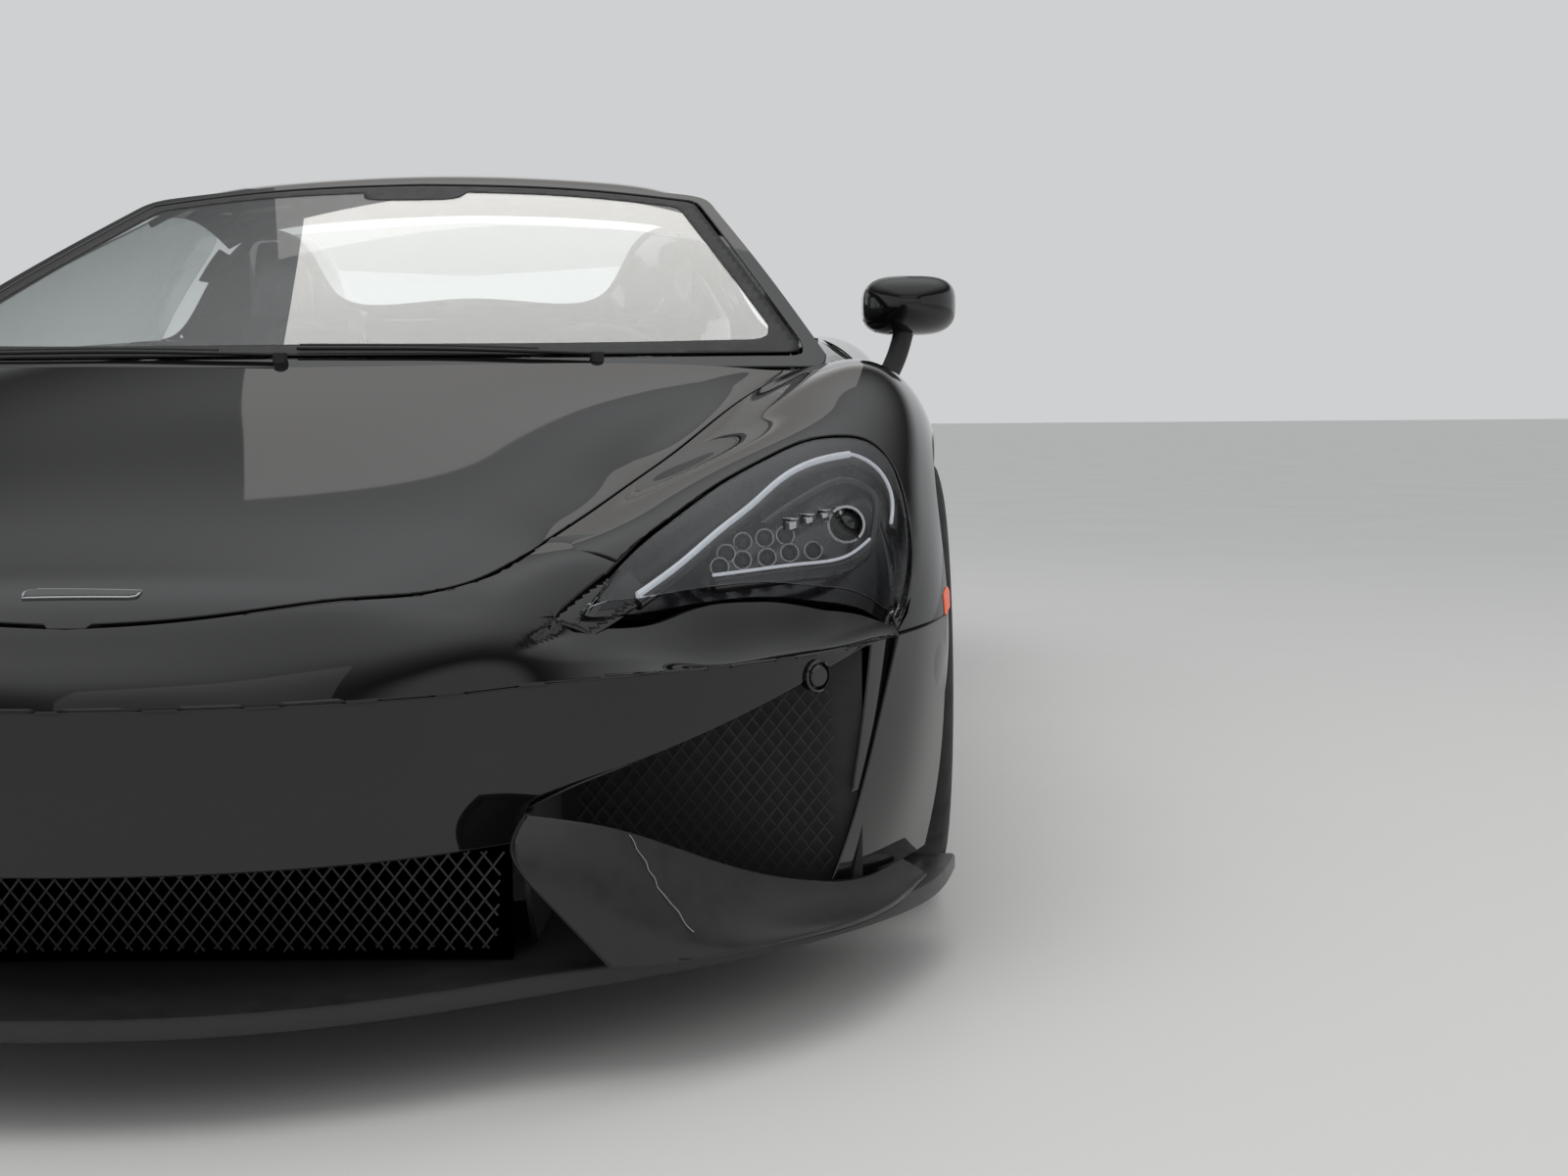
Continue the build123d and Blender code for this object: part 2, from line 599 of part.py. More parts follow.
# ---------------------------------------------------------------- side skirts and the tub
with BuildPart() as side_skirts:
    with BuildSketch(Plane.YZ.offset(-1080)):
        with BuildLine():
            Polyline((840.3, 122), (925, 122), (938, 150), (925, 215), (840.3, 215), close=True)
        make_face()
    extrude(amount=1880)
    add(front_arches.part, mode=Mode.SUBTRACT)
    add(rear_arches.part, mode=Mode.SUBTRACT)
    mirror(about=Plane.XZ)
save(side_skirts.part, "side_skirts")

TUB_FRONT = 1010
TUB_REAR = -560
with BuildPart() as tub:
    with Locations(((TUB_FRONT + TUB_REAR) / 2, 0, 125)):
        Box(TUB_FRONT - TUB_REAR, 1080, 30)
    for side in BODY_SIDES:
        with Locations(((760 + TUB_REAR) / 2, side * 690, 230)):
            Box(760 - TUB_REAR, 300, 240)
        with Locations((735, side * 675, 560)):
            Box(50, 170, 430)
        with Locations(((TUB_FRONT + 710) / 2, side * 527, 420)):
            Box(TUB_FRONT - 710, 26, 600)
    with Locations((TUB_FRONT - 13, 0, 420)):
        Box(26, 1080, 600)
    with Locations((735, 0, 740)):
        Box(50, 1520, 60)
    with Locations((TUB_REAR + 13, 0, 490)):
        Box(26, 1340, 720)
    with Locations((-495, 0, 842)):
        Box(110, 1200, 16)
    with Locations((-449, 0, 882.35)):
        Box(14, 1040, 64.7)
    with Locations((880, 0, 744)):
        Box(250, 1054, 8)
save(tub.part, "tub")

with BuildPart() as luggage_bay:
    with Locations((1455, 0, 350)):
        Box(850, 779.4, 300)
    with Locations((1455, 0, 360)):
        Box(838, 767.4, 300, mode=Mode.SUBTRACT)
save(luggage_bay.part, "luggage_bay")

with BuildPart() as engine:
    with Locations((-960, 0, 430)):
        Box(640, 560, 480)
save(engine.part, "engine")

with BuildPart() as subframes:
    for side in BODY_SIDES:
        with Locations(((TUB_FRONT + 2010) / 2, side * 420, 250)):
            Box(2010 - TUB_FRONT, 60, 90)
        with Locations(((TUB_REAR - 1900) / 2, side * 340, 250)):
            Box(1900 + TUB_REAR, 60, 80)
        with Locations((-1880, side * 340, 380)):
            Box(40, 60, 240)
        with Locations((-2000, side * 340, 460)):
            Box(200, 60, 80)
    # the crash beam bolts on in front of the rails
    with Locations((2030.3, 0, 250)):
        Box(40, 800, 90)
    for side in BODY_SIDES:
        with Locations((-960, side * 295, 270)):
            Box(80, 30, 40)
        with Locations((FRONT_AXLE, side * 420, 367)):
            Box(300, 60, 146)
        with Locations((REAR_AXLE, side * 340, 387)):
            Box(300, 60, 196)
    with Locations((-2120, 0, 460)):
        Box(40, 1200, 80)
    with BuildSketch(Plane.YZ.offset(2010.3)):
        with Locations(TOW_SOCKET):
            Circle(9)
    extrude(amount=40, mode=Mode.SUBTRACT)
save(subframes.part, "subframes")


def liner(axle, tyre, profile):
    """The arch lining over one wheel on the car's left: a thin shell turned about the axle, out to the fender."""
    wall = 5
    thick = [(y, r - wall) for y, r in profile[::-1]]
    with BuildPart(mode=Mode.PRIVATE) as lining:
        with BuildSketch(Plane(origin=(axle, 0, tyre["radius"]), x_dir=(0, 1, 0), z_dir=(1, 0, 0))):
            with BuildLine():
                Polyline(*profile, *thick, close=True)
            make_face()
            with BuildLine():
                y, r = profile[0]
                Polyline((y, r - wall), (y + wall, r - wall), (y + wall, 190), (y, 190), close=True)
            make_face()
        revolve(axis=Axis((axle, 0, tyre["radius"]), (0, 1, 0)))
        with Locations((axle, 0, 0)):
            Box(2000, 3000, 2 * 245, mode=Mode.SUBTRACT)
    return lining.part


with BuildPart() as arch_liners:
    add(liner(FRONT_AXLE, FRONT_TYRE, [(546, 305), (705, 382), (730, 386), (900, 386)]))
    add(liner(REAR_AXLE, REAR_TYRE, [(640, 410), (922, 410)]))
    add(front_fenders.part, mode=Mode.SUBTRACT)
    add(front_bumper.part, mode=Mode.SUBTRACT)
    add(rear_fenders.part, mode=Mode.SUBTRACT)
    mirror(about=Plane.XZ)
save(arch_liners.part, "arch_liners")

with BuildPart() as radiators:
    # the centre mesh leaves a gap in front of the tow socket
    with Locations((2056.6, 50, 190)):
        Box(12, 700, 116)
    with Locations((2056.6, -380, 190)):
        Box(12, 40, 116)
    for side in BODY_SIDES:
        with Locations((1760, side * 615, 290)):
            Box(12, 330, 160)
    with Locations((-2208.7, 0, 620)):
        Box(8, 1330, 180)
        with Locations(Location((0, 170, 0), (0, 90, 0)), Location((0, -170, 0), (0, 90, 0))):
            Cylinder(56, 30, mode=Mode.SUBTRACT)
save(radiators.part, "grilles")

# ---------------------------------------------------------------- wheels
FLANGE = 8.0
DISC = dict(radius=188.0, inboard=-30.0, outboard=0.0)
HUB_BORE = 35.0
SPINDLE = 28.0
CALIPER_GAP = 7.0


def wheel_profile_plane(axle, tyre, centre_y):
    """The plane through the wheel's axis, its origin on the axis at the middle of the wheel."""
    return Plane(origin=(axle, centre_y, tyre["radius"]), x_dir=(0, 1, 0), z_dir=(1, 0, 0))


def tyre_part(axle, tyre, centre_y):
    """One tyre, a ring with rounded shoulders seated on the rim."""
    half, top, rim = tyre["width"] / 2, tyre["radius"], tyre["rim"]
    seat = half - FLANGE - 1
    with BuildPart(mode=Mode.PRIVATE) as ring:
        with BuildSketch(wheel_profile_plane(axle, tyre, centre_y)):
            with BuildLine():
                Polyline((seat, rim + 14), (seat, rim), (-seat, rim), (-seat, rim + 14))
                for way in BODY_SIDES:
                    ThreePointArc((way * seat, rim + 14), (way * half, (rim + top) / 2 + 2), (way * (half - 5), top - 22))
                    ThreePointArc((way * (half - 5), top - 22), (way * (half - 11), top - 8), (way * (half - 24), top - 3))
                ThreePointArc((half - 24, top - 3), (0, top), (24 - half, top - 3))
            make_face()
        revolve(axis=Axis((axle, 0, top), (0, 1, 0)))
    return ring.part


def rim_part(axle, tyre, centre_y, side):
    """One wheel with its brake disc; side is +1 on the car's left."""
    half, rim = tyre["width"] / 2 - 1, tyre["rim"]
    seat = half - FLANGE
    axis = Axis((axle, 0, tyre["radius"]), (0, side, 0))
    with BuildPart(mode=Mode.PRIVATE) as wheel:
        with BuildSketch(wheel_profile_plane(axle, tyre, centre_y)):
            with BuildLine():
                Polyline((seat, rim), (seat, rim + 13), (half, rim + 13), (half, rim - 12), (-half, rim - 12), (-half, rim + 13), (-seat, rim + 13),
                         (-seat, rim), close=True)
            make_face()
            with BuildLine():
                Polyline((side * (half - 46), HUB_BORE), (side * (half - 46), 78), (side * (half - 20), 70), (side * (half - 20), HUB_BORE), close=True)
            make_face()
            with BuildLine():
                Polyline((side * -30, HUB_BORE), (side * -30, 188), (0, 188), (0, 80), (side * (half - 40), 66), (side * (half - 40), HUB_BORE), close=True)
            make_face()
        revolve(axis=axis)
        face = Plane(origin=(axle, centre_y + side * (half - 40), tyre["radius"]), x_dir=(1, 0, 0), z_dir=(0, side, 0))
        with BuildSketch(face):
            with PolarLocations(0, 10):
                Polygon((60, -16), (rim - 8, -11), (rim - 8, 11), (60, 16), align=None)
        extrude(amount=24)
    return wheel.part


WHEELS = [
    ("front_left", FRONT_AXLE, FRONT_TYRE, 1, FRONT_TRACK / 2),
    ("front_right", FRONT_AXLE, FRONT_TYRE, -1, FRONT_TRACK / 2),
    ("rear_left", REAR_AXLE, REAR_TYRE, 1, REAR_TRACK / 2),
    ("rear_right", REAR_AXLE, REAR_TYRE, -1, REAR_TRACK / 2),
]
for corner, axle, tyre, side, out in WHEELS:
    save(tyre_part(axle, tyre, side * out), f"tyre_{corner}")
    save(rim_part(axle, tyre, side * out, side), f"rim_{corner}")


def upright(axle, tyre, centre_y, side):
    """A wheel carrier with its spindle and brake caliper."""
    half = tyre["width"] / 2 - 1
    rise = tyre["radius"]
    with BuildPart(mode=Mode.PRIVATE) as carrier:
        with Locations((axle, centre_y - side * 90, rise)):
            Box(120, 30, 260)
        with BuildSketch(Plane(origin=(axle, centre_y - side * 100, rise), x_dir=(1, 0, 0), z_dir=(0, side, 0))):
            Circle(SPINDLE)
        extrude(amount=100 + half - 24)
        with BuildSketch(Plane(origin=(axle, centre_y - side * 75, rise), x_dir=(0, 0, 1), z_dir=(0, side, 0))) as block:
            with BuildLine():
                Polyline((-80, -side * 100), (80, -side * 100), (80, -side * 210), (-80, -side * 210), close=True)
            make_face()
            Circle(DISC["radius"] + 26, mode=Mode.INTERSECT)
        extrude(amount=105)
        with BuildSketch(Plane(origin=(axle, centre_y - side * (30 + CALIPER_GAP), rise), x_dir=(1, 0, 0), z_dir=(0, side, 0))):
            Circle(DISC["radius"] + CALIPER_GAP)
        extrude(amount=30 + 2 * CALIPER_GAP, mode=Mode.SUBTRACT)
        with BuildSketch(Plane(origin=(axle, centre_y - side * 75, rise), x_dir=(1, 0, 0), z_dir=(0, side, 0))):
            Circle(SPINDLE)
        extrude(amount=85)
        with Locations((axle - 80, centre_y - side * 90, rise)):
            Box(120, 30, 100)
    return carrier.part


for corner, axle, tyre, side, out in WHEELS[:2]:
    save(upright(axle, tyre, side * out, side), f"knuckle_{corner[6:]}")
with BuildPart() as rear_uprights:
    for corner, axle, tyre, side, out in WHEELS[2:]:
        add(upright(axle, tyre, side * out, side))
save(rear_uprights.part, "rear_uprights")

with BuildPart() as wishbones:
    for axle, foot, tip, levels in ((FRONT_AXLE, 450, 712, (215, 425)), (REAR_AXLE, 370, 703.7, (230, 470))):
        for level in levels:
            for side in BODY_SIDES:
                with BuildSketch(Plane.XY.offset(level - 14)):
                    with BuildLine():
                        Polyline((axle - 150, side * foot), (axle - 100, side * foot), (axle, side * (tip - 70)), (axle + 100, side * foot),
                                 (axle + 150, side * foot), (axle + 25, side * tip), (axle - 25, side * tip), close=True)
                    make_face()
                extrude(amount=28)
save(wishbones.part, "wishbones")

# ---------------------------------------------------------------- cabin
with BuildPart() as seats:
    for side in BODY_SIDES:
        with BuildSketch(Plane.XZ.offset(-side * 130)):
            with BuildLine():
                Polyline((350, 140.3), (350, 300), (-90, 285), (-270, 700), (-335, 930), (-410, 925), (-400, 700), (-250, 140.3), close=True)
            make_face()
        extrude(amount=-side * 400)
save(seats.part, "seats")

COLUMN = dict(x=470.0, y=370.0, z=610.0, rake=24.0)
column_dir = (-math.cos(math.radians(COLUMN["rake"])), 0, math.sin(math.radians(COLUMN["rake"])))
with BuildPart() as dashboard:
    with BuildSketch(Plane.XZ.offset(-700)):
        with BuildLine():
            Polyline((709.7, 560), (709.7, 790), (640, 800), (500, 770), (470, 690), (520, 600), (600, 555), close=True)
        make_face()
    extrude(amount=1400)
    with Locations(Plane(origin=(COLUMN["x"] + 20, COLUMN["y"], COLUMN["z"] + 40), z_dir=column_dir)):
        Cylinder(32, 170)
save(dashboard.part, "dashboard")

with BuildPart() as centre_console:
    with BuildSketch(Plane.XZ.offset(-95)):
        with BuildLine():
            Polyline((709.7, 140.3), (709.7, 554), (600, 550), (300, 420), (-250, 400), (-480, 600), (-533.7, 600), (-533.7, 140.3), close=True)
        make_face()
    extrude(amount=190)
save(centre_console.part, "centre_console")

hub = (COLUMN["x"] + 20 + column_dir[0] * 95, COLUMN["y"], COLUMN["z"] + 40 + column_dir[2] * 95)
with BuildPart() as steering_wheel:
    wheel_plane = Plane(origin=hub, x_dir=(0, 1, 0), z_dir=column_dir)
    with BuildSketch(wheel_plane):
        Circle(45)
    extrude(amount=40)
    with BuildSketch(wheel_plane.offset(10)):
        Rectangle(320, 30)
        with Locations((0, -90)):
            Rectangle(40, 170)
    extrude(amount=16)
    with BuildSketch(Plane(origin=hub, x_dir=(0, 1, 0), z_dir=Vector(*column_dir).cross(Vector(0, 1, 0)))):
        with Locations((165, -18)):
            Circle(15)
    revolve(axis=Axis(hub, column_dir))
save(steering_wheel.part, "steering_wheel")

with BuildPart() as wipers:
    for root, tip in ((-40, -560), (430, -20)):
        sections = []
        for y, z, ahead in ((root, 797, 50), ((root + tip) / 2, 816, 60), (tip, 822, 60)):
            with BuildSketch(Plane.XZ.offset(-y)) as section:
                with Locations((screen_x(y, z) + ahead, z)):
                    Rectangle(16, 12)
            sections.append(section.sketch)
        loft(sections)
        with Locations((screen_x(root, 790) + 23, root, 790)):
            Box(22, 24, 20)
    add(windscreen_frame.part, mode=Mode.SUBTRACT)
save(wipers.part, "wipers")
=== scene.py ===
import math

import bmesh
import bpy
import numpy as np
from mathutils import Matrix, Vector


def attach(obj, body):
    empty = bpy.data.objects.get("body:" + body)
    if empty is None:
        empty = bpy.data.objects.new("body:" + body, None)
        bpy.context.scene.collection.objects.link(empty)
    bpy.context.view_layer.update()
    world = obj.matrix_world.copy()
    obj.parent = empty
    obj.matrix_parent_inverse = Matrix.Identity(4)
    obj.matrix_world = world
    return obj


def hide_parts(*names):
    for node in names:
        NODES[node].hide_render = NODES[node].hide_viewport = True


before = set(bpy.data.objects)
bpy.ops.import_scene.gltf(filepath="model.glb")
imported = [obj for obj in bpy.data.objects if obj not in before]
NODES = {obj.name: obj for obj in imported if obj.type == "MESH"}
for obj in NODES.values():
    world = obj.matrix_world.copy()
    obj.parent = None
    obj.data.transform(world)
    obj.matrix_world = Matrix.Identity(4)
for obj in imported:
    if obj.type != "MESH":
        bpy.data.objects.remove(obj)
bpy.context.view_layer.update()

bl_info = {
    "name": "Open-top supercar builder",
    "version": (1, 0, 0),
    "blender": (4, 5, 0),
    "location": "3D View > Sidebar > Supercar",
    "description": "Builds the finished panels, glass, lamps, wheels and cabin of a two-seat supercar",
    "category": "Object",
}

MM = 0.001


# ------------------------------------------------------------------ smooth curves and surfaces, millimetres
def spline_rows(s, f, at):
    """Natural cubic splines, one a row, through values f at places s, worked out at one place each."""
    n = s.shape[1]
    h = np.maximum(np.diff(s), 1e-6)
    a = np.zeros((len(s), n, n))
    b = np.zeros((len(s), n))
    a[:, 0, 0] = a[:, -1, -1] = 1.0
    for i in range(1, n - 1):
        a[:, i, i - 1] = h[:, i - 1]
        a[:, i, i] = 2 * (h[:, i - 1] + h[:, i])
        a[:, i, i + 1] = h[:, i]
        b[:, i] = 6 * ((f[:, i + 1] - f[:, i]) / h[:, i] - (f[:, i] - f[:, i - 1]) / h[:, i - 1])
    m = np.linalg.solve(a, b[..., None])[..., 0]
    k = np.clip((s[:, 1:-1] <= at[:, None]).sum(1), 0, n - 2)
    r = np.arange(len(s))
    hk, p, q = h[r, k], s[r, k + 1] - at, at - s[r, k]
    return (
        (m[r, k] * p**3 + m[r, k + 1] * q**3) / (6 * hk)
        + (f[r, k] / hk - m[r, k] * hk / 6) * p
        + (f[r, k + 1] / hk - m[r, k + 1] * hk / 6) * q
    )


def spline(xs, ys, at):
    """One natural cubic spline worked out at many places."""
    at = np.atleast_1d(np.asarray(at, float))
    order = np.argsort(xs)
    s = np.repeat(np.asarray(xs, float)[order][None], len(at), 0)
    f = np.repeat(np.asarray(ys, float)[order][None], len(at), 0)
    return spline_rows(s, f, at)


def across(points, b):
    """Rows of points, joined by a smooth curve each, at place b counted in points."""
    d = np.sqrt(np.maximum(np.linalg.norm(np.diff(points, axis=1), axis=2), 1e-3))
    s = np.concatenate([np.zeros((len(points), 1)), np.cumsum(d, 1)], 1)
    k = np.clip(np.floor(b).astype(int), 0, points.shape[1] - 2)
    r = np.arange(len(points))
    at = s[r, k] + (b - k) * (s[r, k + 1] - s[r, k])
    return np.stack([spline_rows(s, points[:, :, i], at) for i in range(points.shape[2])], 1)


class Line:
    """A styling line along the body: y and z as smooth functions of x."""

    def __init__(self, *points):
        self.p = np.array(sorted(points), float)

    def y(self, x):
        return spline(self.p[:, 0], self.p[:, 1], x)

    def z(self, x):
        return spline(self.p[:, 0], self.p[:, 2], x)


class Skin:
    """The body's surface through styling lines: a is x, and b counts the lines from the first."""

    def __init__(self, lines, whole):
        self.lines, self.whole = lines, whole

    def __call__(self, a, b):
        a, b = np.atleast_1d(a).astype(float), np.atleast_1d(b).astype(float)
        yz = np.stack([np.stack([line.y(a), line.z(a)], 1) for line in self.lines], 1)
        if self.whole:
            left = yz[:, :0:-1].copy()
            left[:, :, 0] *= -1
            yz = np.concatenate([left, yz], 1)
            b = b + len(self.lines) - 1
        p = across(yz, b)
        return np.stack([a, p[:, 0], p[:, 1]], 1)


class Loft:
    """A smooth surface through rails with as many points each: a counts along a rail, b the rails."""

    def __init__(self, *rails):
        self.rails = np.array(rails, float)

    def __call__(self, a, b):
        a, b = np.atleast_1d(a).astype(float), np.atleast_1d(b).astype(float)
        along = [across(np.repeat(rail[None], len(a), 0), a) for rail in self.rails]
        return across(np.stack(along, 1), b)


def run(*points, steps=10):
    """Points along a smooth curve through a few points."""
    p = np.array(points, float)
    if len(p) == 2:
        steps = 1
    at = np.linspace(0, len(p) - 1, (len(p) - 1) * steps + 1)
    return across(np.repeat(p[None], len(at), 0), at)


def outline(*runs):
    """A closed outline of smooth runs that meet at corners."""
    return np.concatenate([r[:-1] for r in runs])


def chained(*parts):
    """A closed outline of smooth runs, each drawn from where the one before it ends, and the first from the last."""
    starts = [parts[-1][-1]] + [part[-1] for part in parts[:-1]]
    return outline(*[run(start, *part) for start, part in zip(starts, parts)])


def whole_outline(*runs):
    """An outline drawn from the centreline round the left side back to the centreline, made whole."""
    half = np.concatenate([r[:-1] for r in runs[:-1]] + [runs[-1]])
    back = half[::-1].copy()
    back[:, 1] *= -1
    return np.concatenate([half, back[1:-1]])


def grown(poly, gap):
    """A closed outline with its edge moved outwards."""
    area = np.sum(poly[:, 0] * np.roll(poly[:, 1], -1) - np.roll(poly[:, 0], -1) * poly[:, 1])
    d = np.roll(poly, -1, 0) - np.roll(poly, 1, 0)
    n = np.stack([d[:, 1], -d[:, 0]], 1) / np.maximum(np.linalg.norm(d, axis=1), 1e-9)[:, None]
    return poly + n * gap * (1 if area > 0 else -1)


def inside(poly, p):
    """Which points lie inside a closed outline."""
    a, b = poly, np.roll(poly, -1, 0)
    x, y = p[:, :1], p[:, 1:]
    over = (a[:, 1] > y) != (b[:, 1] > y)
    with np.errstate(divide="ignore", invalid="ignore"):
        at = (b[:, 0] - a[:, 0]) * (y - a[:, 1]) / (b[:, 1] - a[:, 1]) + a[:, 0]
    return ((x < at) & over).sum(1) % 2 == 1


def nearest(poly, p):
    """The nearest point of a closed outline to each point."""
    a = poly
    ab = np.roll(poly, -1, 0) - a
    ap = p[:, None] - a[None]
    t = np.clip((ap * ab).sum(2) / np.maximum((ab**2).sum(1), 1e-9), 0, 1)
    q = a[None] + t[..., None] * ab[None]
    k = ((q - p[:, None]) ** 2).sum(2).argmin(1)
    return q[np.arange(len(p)), k]


PLAN, SIDE_VIEW, FRONT_VIEW = (0, 1), (0, 2), (1, 2)


def nearest_on(line, p):
    """The nearest point of an open line to each point."""
    a, b = line[:-1], line[1:]
    along = b - a
    part = ((p[:, None] - a) * along).sum(2) / np.maximum((along ** 2).sum(1), 1e-9)
    found = a + np.clip(part, 0, 1)[..., None] * along
    best = np.argmin(((found - p[:, None]) ** 2).sum(2), 1)
    return found[np.arange(len(p)), best]


def trim(bm, surface, view, poly, keep_inside):
    """Takes away one side of an outline from a flat sheet, and lays the sheet's new edge on the outline."""
    bm.verts.ensure_lookup_table()
    flat = np.array([v.co[:2] for v in bm.verts])
    shown = surface(flat[:, 0], flat[:, 1])[:, view]
    for i, v in enumerate(bm.verts):
        v.index = i
    middles = np.array([np.mean([shown[v.index] for v in f.verts], 0) for f in bm.faces])
    wrong = inside(poly, middles) != keep_inside
    faces = [f for f, w in zip(bm.faces, wrong) if w]
    if not faces:
        return
    edge = {v for f in faces for v in f.verts}
    bmesh.ops.delete(bm, geom=faces, context="FACES")
    edge = [v for v in edge if v.is_valid and v.link_faces]
    at = np.array([v.co[:2] for v in edge])
    goal = nearest(poly, surface(at[:, 0], at[:, 1])[:, view])
    turn = poly - np.roll(poly, 1, 0), np.roll(poly, -1, 0) - poly
    angle = np.arctan2(
        turn[0][:, 0] * turn[1][:, 1] - turn[0][:, 1] * turn[1][:, 0], (turn[0] * turn[1]).sum(1)
    )
    for corner in poly[np.abs(angle) > 0.42]:
        d = np.linalg.norm(goal - corner, axis=1)
        if d.min() < 25:
            goal[d.argmin()] = corner
    span = np.ptp(flat, axis=0)
    da, db = span * 1e-4
    for _ in range(6):
        p = surface(at[:, 0], at[:, 1])[:, view]
        ja = (surface(at[:, 0] + da, at[:, 1])[:, view] - p) / da
        jb = (surface(at[:, 0], at[:, 1] + db)[:, view] - p) / db
        det = ja[:, 0] * jb[:, 1] - ja[:, 1] * jb[:, 0]
        det = np.where(np.abs(det) < 1e-6, 1e-6, det)
        e = goal - p
        step = np.stack([e[:, 0] * jb[:, 1] - e[:, 1] * jb[:, 0], ja[:, 0] * e[:, 1] - ja[:, 1] * e[:, 0]],
                        1)
        step /= det[:, None]
        limit = span * 0.02
        at = np.clip(at + np.clip(step, -limit, limit), flat.min(0), flat.max(0))
    for v, (a, b) in zip(edge, at):
        v.co = (a, b, 0)


def sheet(bm, surface, a_span, b_span, cells, facing, *trims):
    """A sheet on a surface between two places along and across, cut by outlines, facing a direction."""
    part = bmesh.new()
    bmesh.ops.create_grid(part, x_segments=cells[0], y_segments=cells[1], size=0.5)
    for v in part.verts:
        v.co.x = a_span[0] + (v.co.x + 0.5) * (a_span[1] - a_span[0])
        v.co.y = b_span[0] + (v.co.y + 0.5) * (b_span[1] - b_span[0])
    for view, poly, keep_inside in trims:
        trim(part, surface, view, poly, keep_inside)
    flat = np.array([v.co[:2] for v in part.verts])
    for v, p in zip(part.verts, surface(flat[:, 0], flat[:, 1])):
        v.co = Vector(p) * MM
    bmesh.ops.remove_doubles(part, verts=part.verts, dist=0.0008)
    part.normal_update()
    normal = sum((f.normal * f.calc_area() for f in part.faces), Vector())
    if normal.dot(Vector(facing)) < 0:
        bmesh.ops.reverse_faces(part, faces=part.faces)
    join(bm, part)


def join(bm, part):
    """Adds one mesh to another."""
    mesh = bpy.data.meshes.new("part")
    part.to_mesh(mesh)
    part.free()
    bm.from_mesh(mesh)
    bpy.data.meshes.remove(mesh)


def both_sides(bm):
    """Adds the same mesh on the car's other side."""
    made = bmesh.ops.duplicate(bm, geom=bm.verts[:] + bm.edges[:] + bm.faces[:])["geom"]
    bmesh.ops.scale(bm, vec=(1, -1, 1), verts=[g for g in made if isinstance(g, bmesh.types.BMVert)])
    bmesh.ops.reverse_faces(bm, faces=[g for g in made if isinstance(g, bmesh.types.BMFace)])
    return bm


def block(bm, size, place, turn=None, edge=2.0):
    """A box with rounded edges, in millimetres."""
    part = bmesh.new()
    bmesh.ops.create_cube(part, size=1)
    bmesh.ops.scale(part, vec=Vector(size) * MM, verts=part.verts)
    if edge:
        bmesh.ops.bevel(
            part, geom=part.edges[:], offset=edge * MM, segments=3, affect="EDGES", profile=0.5, material=-1
        )
    if turn:
        bmesh.ops.transform(part, matrix=turn, verts=part.verts)
    bmesh.ops.translate(part, vec=Vector(place) * MM, verts=part.verts)
    join(bm, part)


def spun(bm, profile, place=(0, 0, 0), axis="Y", steps=64, closed=True):
    """A profile of (along the axis, radius) points turned round an axis."""
    part = bmesh.new()
    at = {"X": lambda a, r: (a, 0, r), "Y": lambda a, r: (0, a, r), "Z": lambda a, r: (r, 0, a)}[axis]
    verts = [part.verts.new(Vector(at(a, r)) * MM) for a, r in profile]
    pairs = list(zip(verts, verts[1:])) + ([(verts[-1], verts[0])] if closed else [])
    edges = [part.edges.new(pair) for pair in pairs]
    direction = {"X": (1, 0, 0), "Y": (0, 1, 0), "Z": (0, 0, 1)}[axis]
    bmesh.ops.spin(
        part, geom=verts + edges, cent=(0, 0,
                                        0), axis=direction, angle=math.tau, steps=steps, use_merge=True
    )
    bmesh.ops.remove_doubles(part, verts=part.verts, dist=1e-5)
    bmesh.ops.recalc_face_normals(part, faces=part.faces)
    bmesh.ops.translate(part, vec=Vector(place) * MM, verts=part.verts)
    join(bm, part)


def tube(bm, path, radius, sides=12, closed=False, squash=1.0):
    """A round bar along a smooth path through a few points."""
    centre = run(*path, steps=8) if len(path) > 2 else np.array(path, float)
    if closed:
        centre = centre[:-1]
    part = bmesh.new()
    ends = (np.roll(centre, -1, 0) - np.roll(centre, 1, 0)) if closed else np.gradient(centre, axis=0)
    rings, up = [], Vector((0, 0, 1))
    for c, t in zip(centre, ends):
        t = Vector(t).normalized()
        if abs(t.dot(up)) > 0.95:
            up = Vector((0, 1, 0)) if abs(t.y) < 0.9 else Vector((1, 0, 0))
        side = t.cross(up).normalized()
        top = side.cross(t).normalized()
        turn = Matrix((side, top, t)).transposed().to_4x4()
        ring = bmesh.ops.create_circle(part, segments=sides, radius=radius * MM)["verts"]
        bmesh.ops.scale(part, vec=(1, squash, 1), verts=ring)
        bmesh.ops.transform(part, matrix=Matrix.Translation(Vector(c) * MM) @ turn, verts=ring)
        rings.append([ring[i].link_edges for i in range(len(ring))])
    loops = [list({e for group in ring for e in group}) for ring in rings]
    pairs = list(zip(loops, loops[1:])) + ([(loops[-1], loops[0])] if closed else [])
    for first, second in pairs:
        bmesh.ops.bridge_loops(part, edges=first + second)
    if not closed:
        bmesh.ops.holes_fill(part, edges=[e for e in part.edges if e.is_boundary], sides=sides)
    bmesh.ops.recalc_face_normals(part, faces=part.faces)
    join(bm, part)


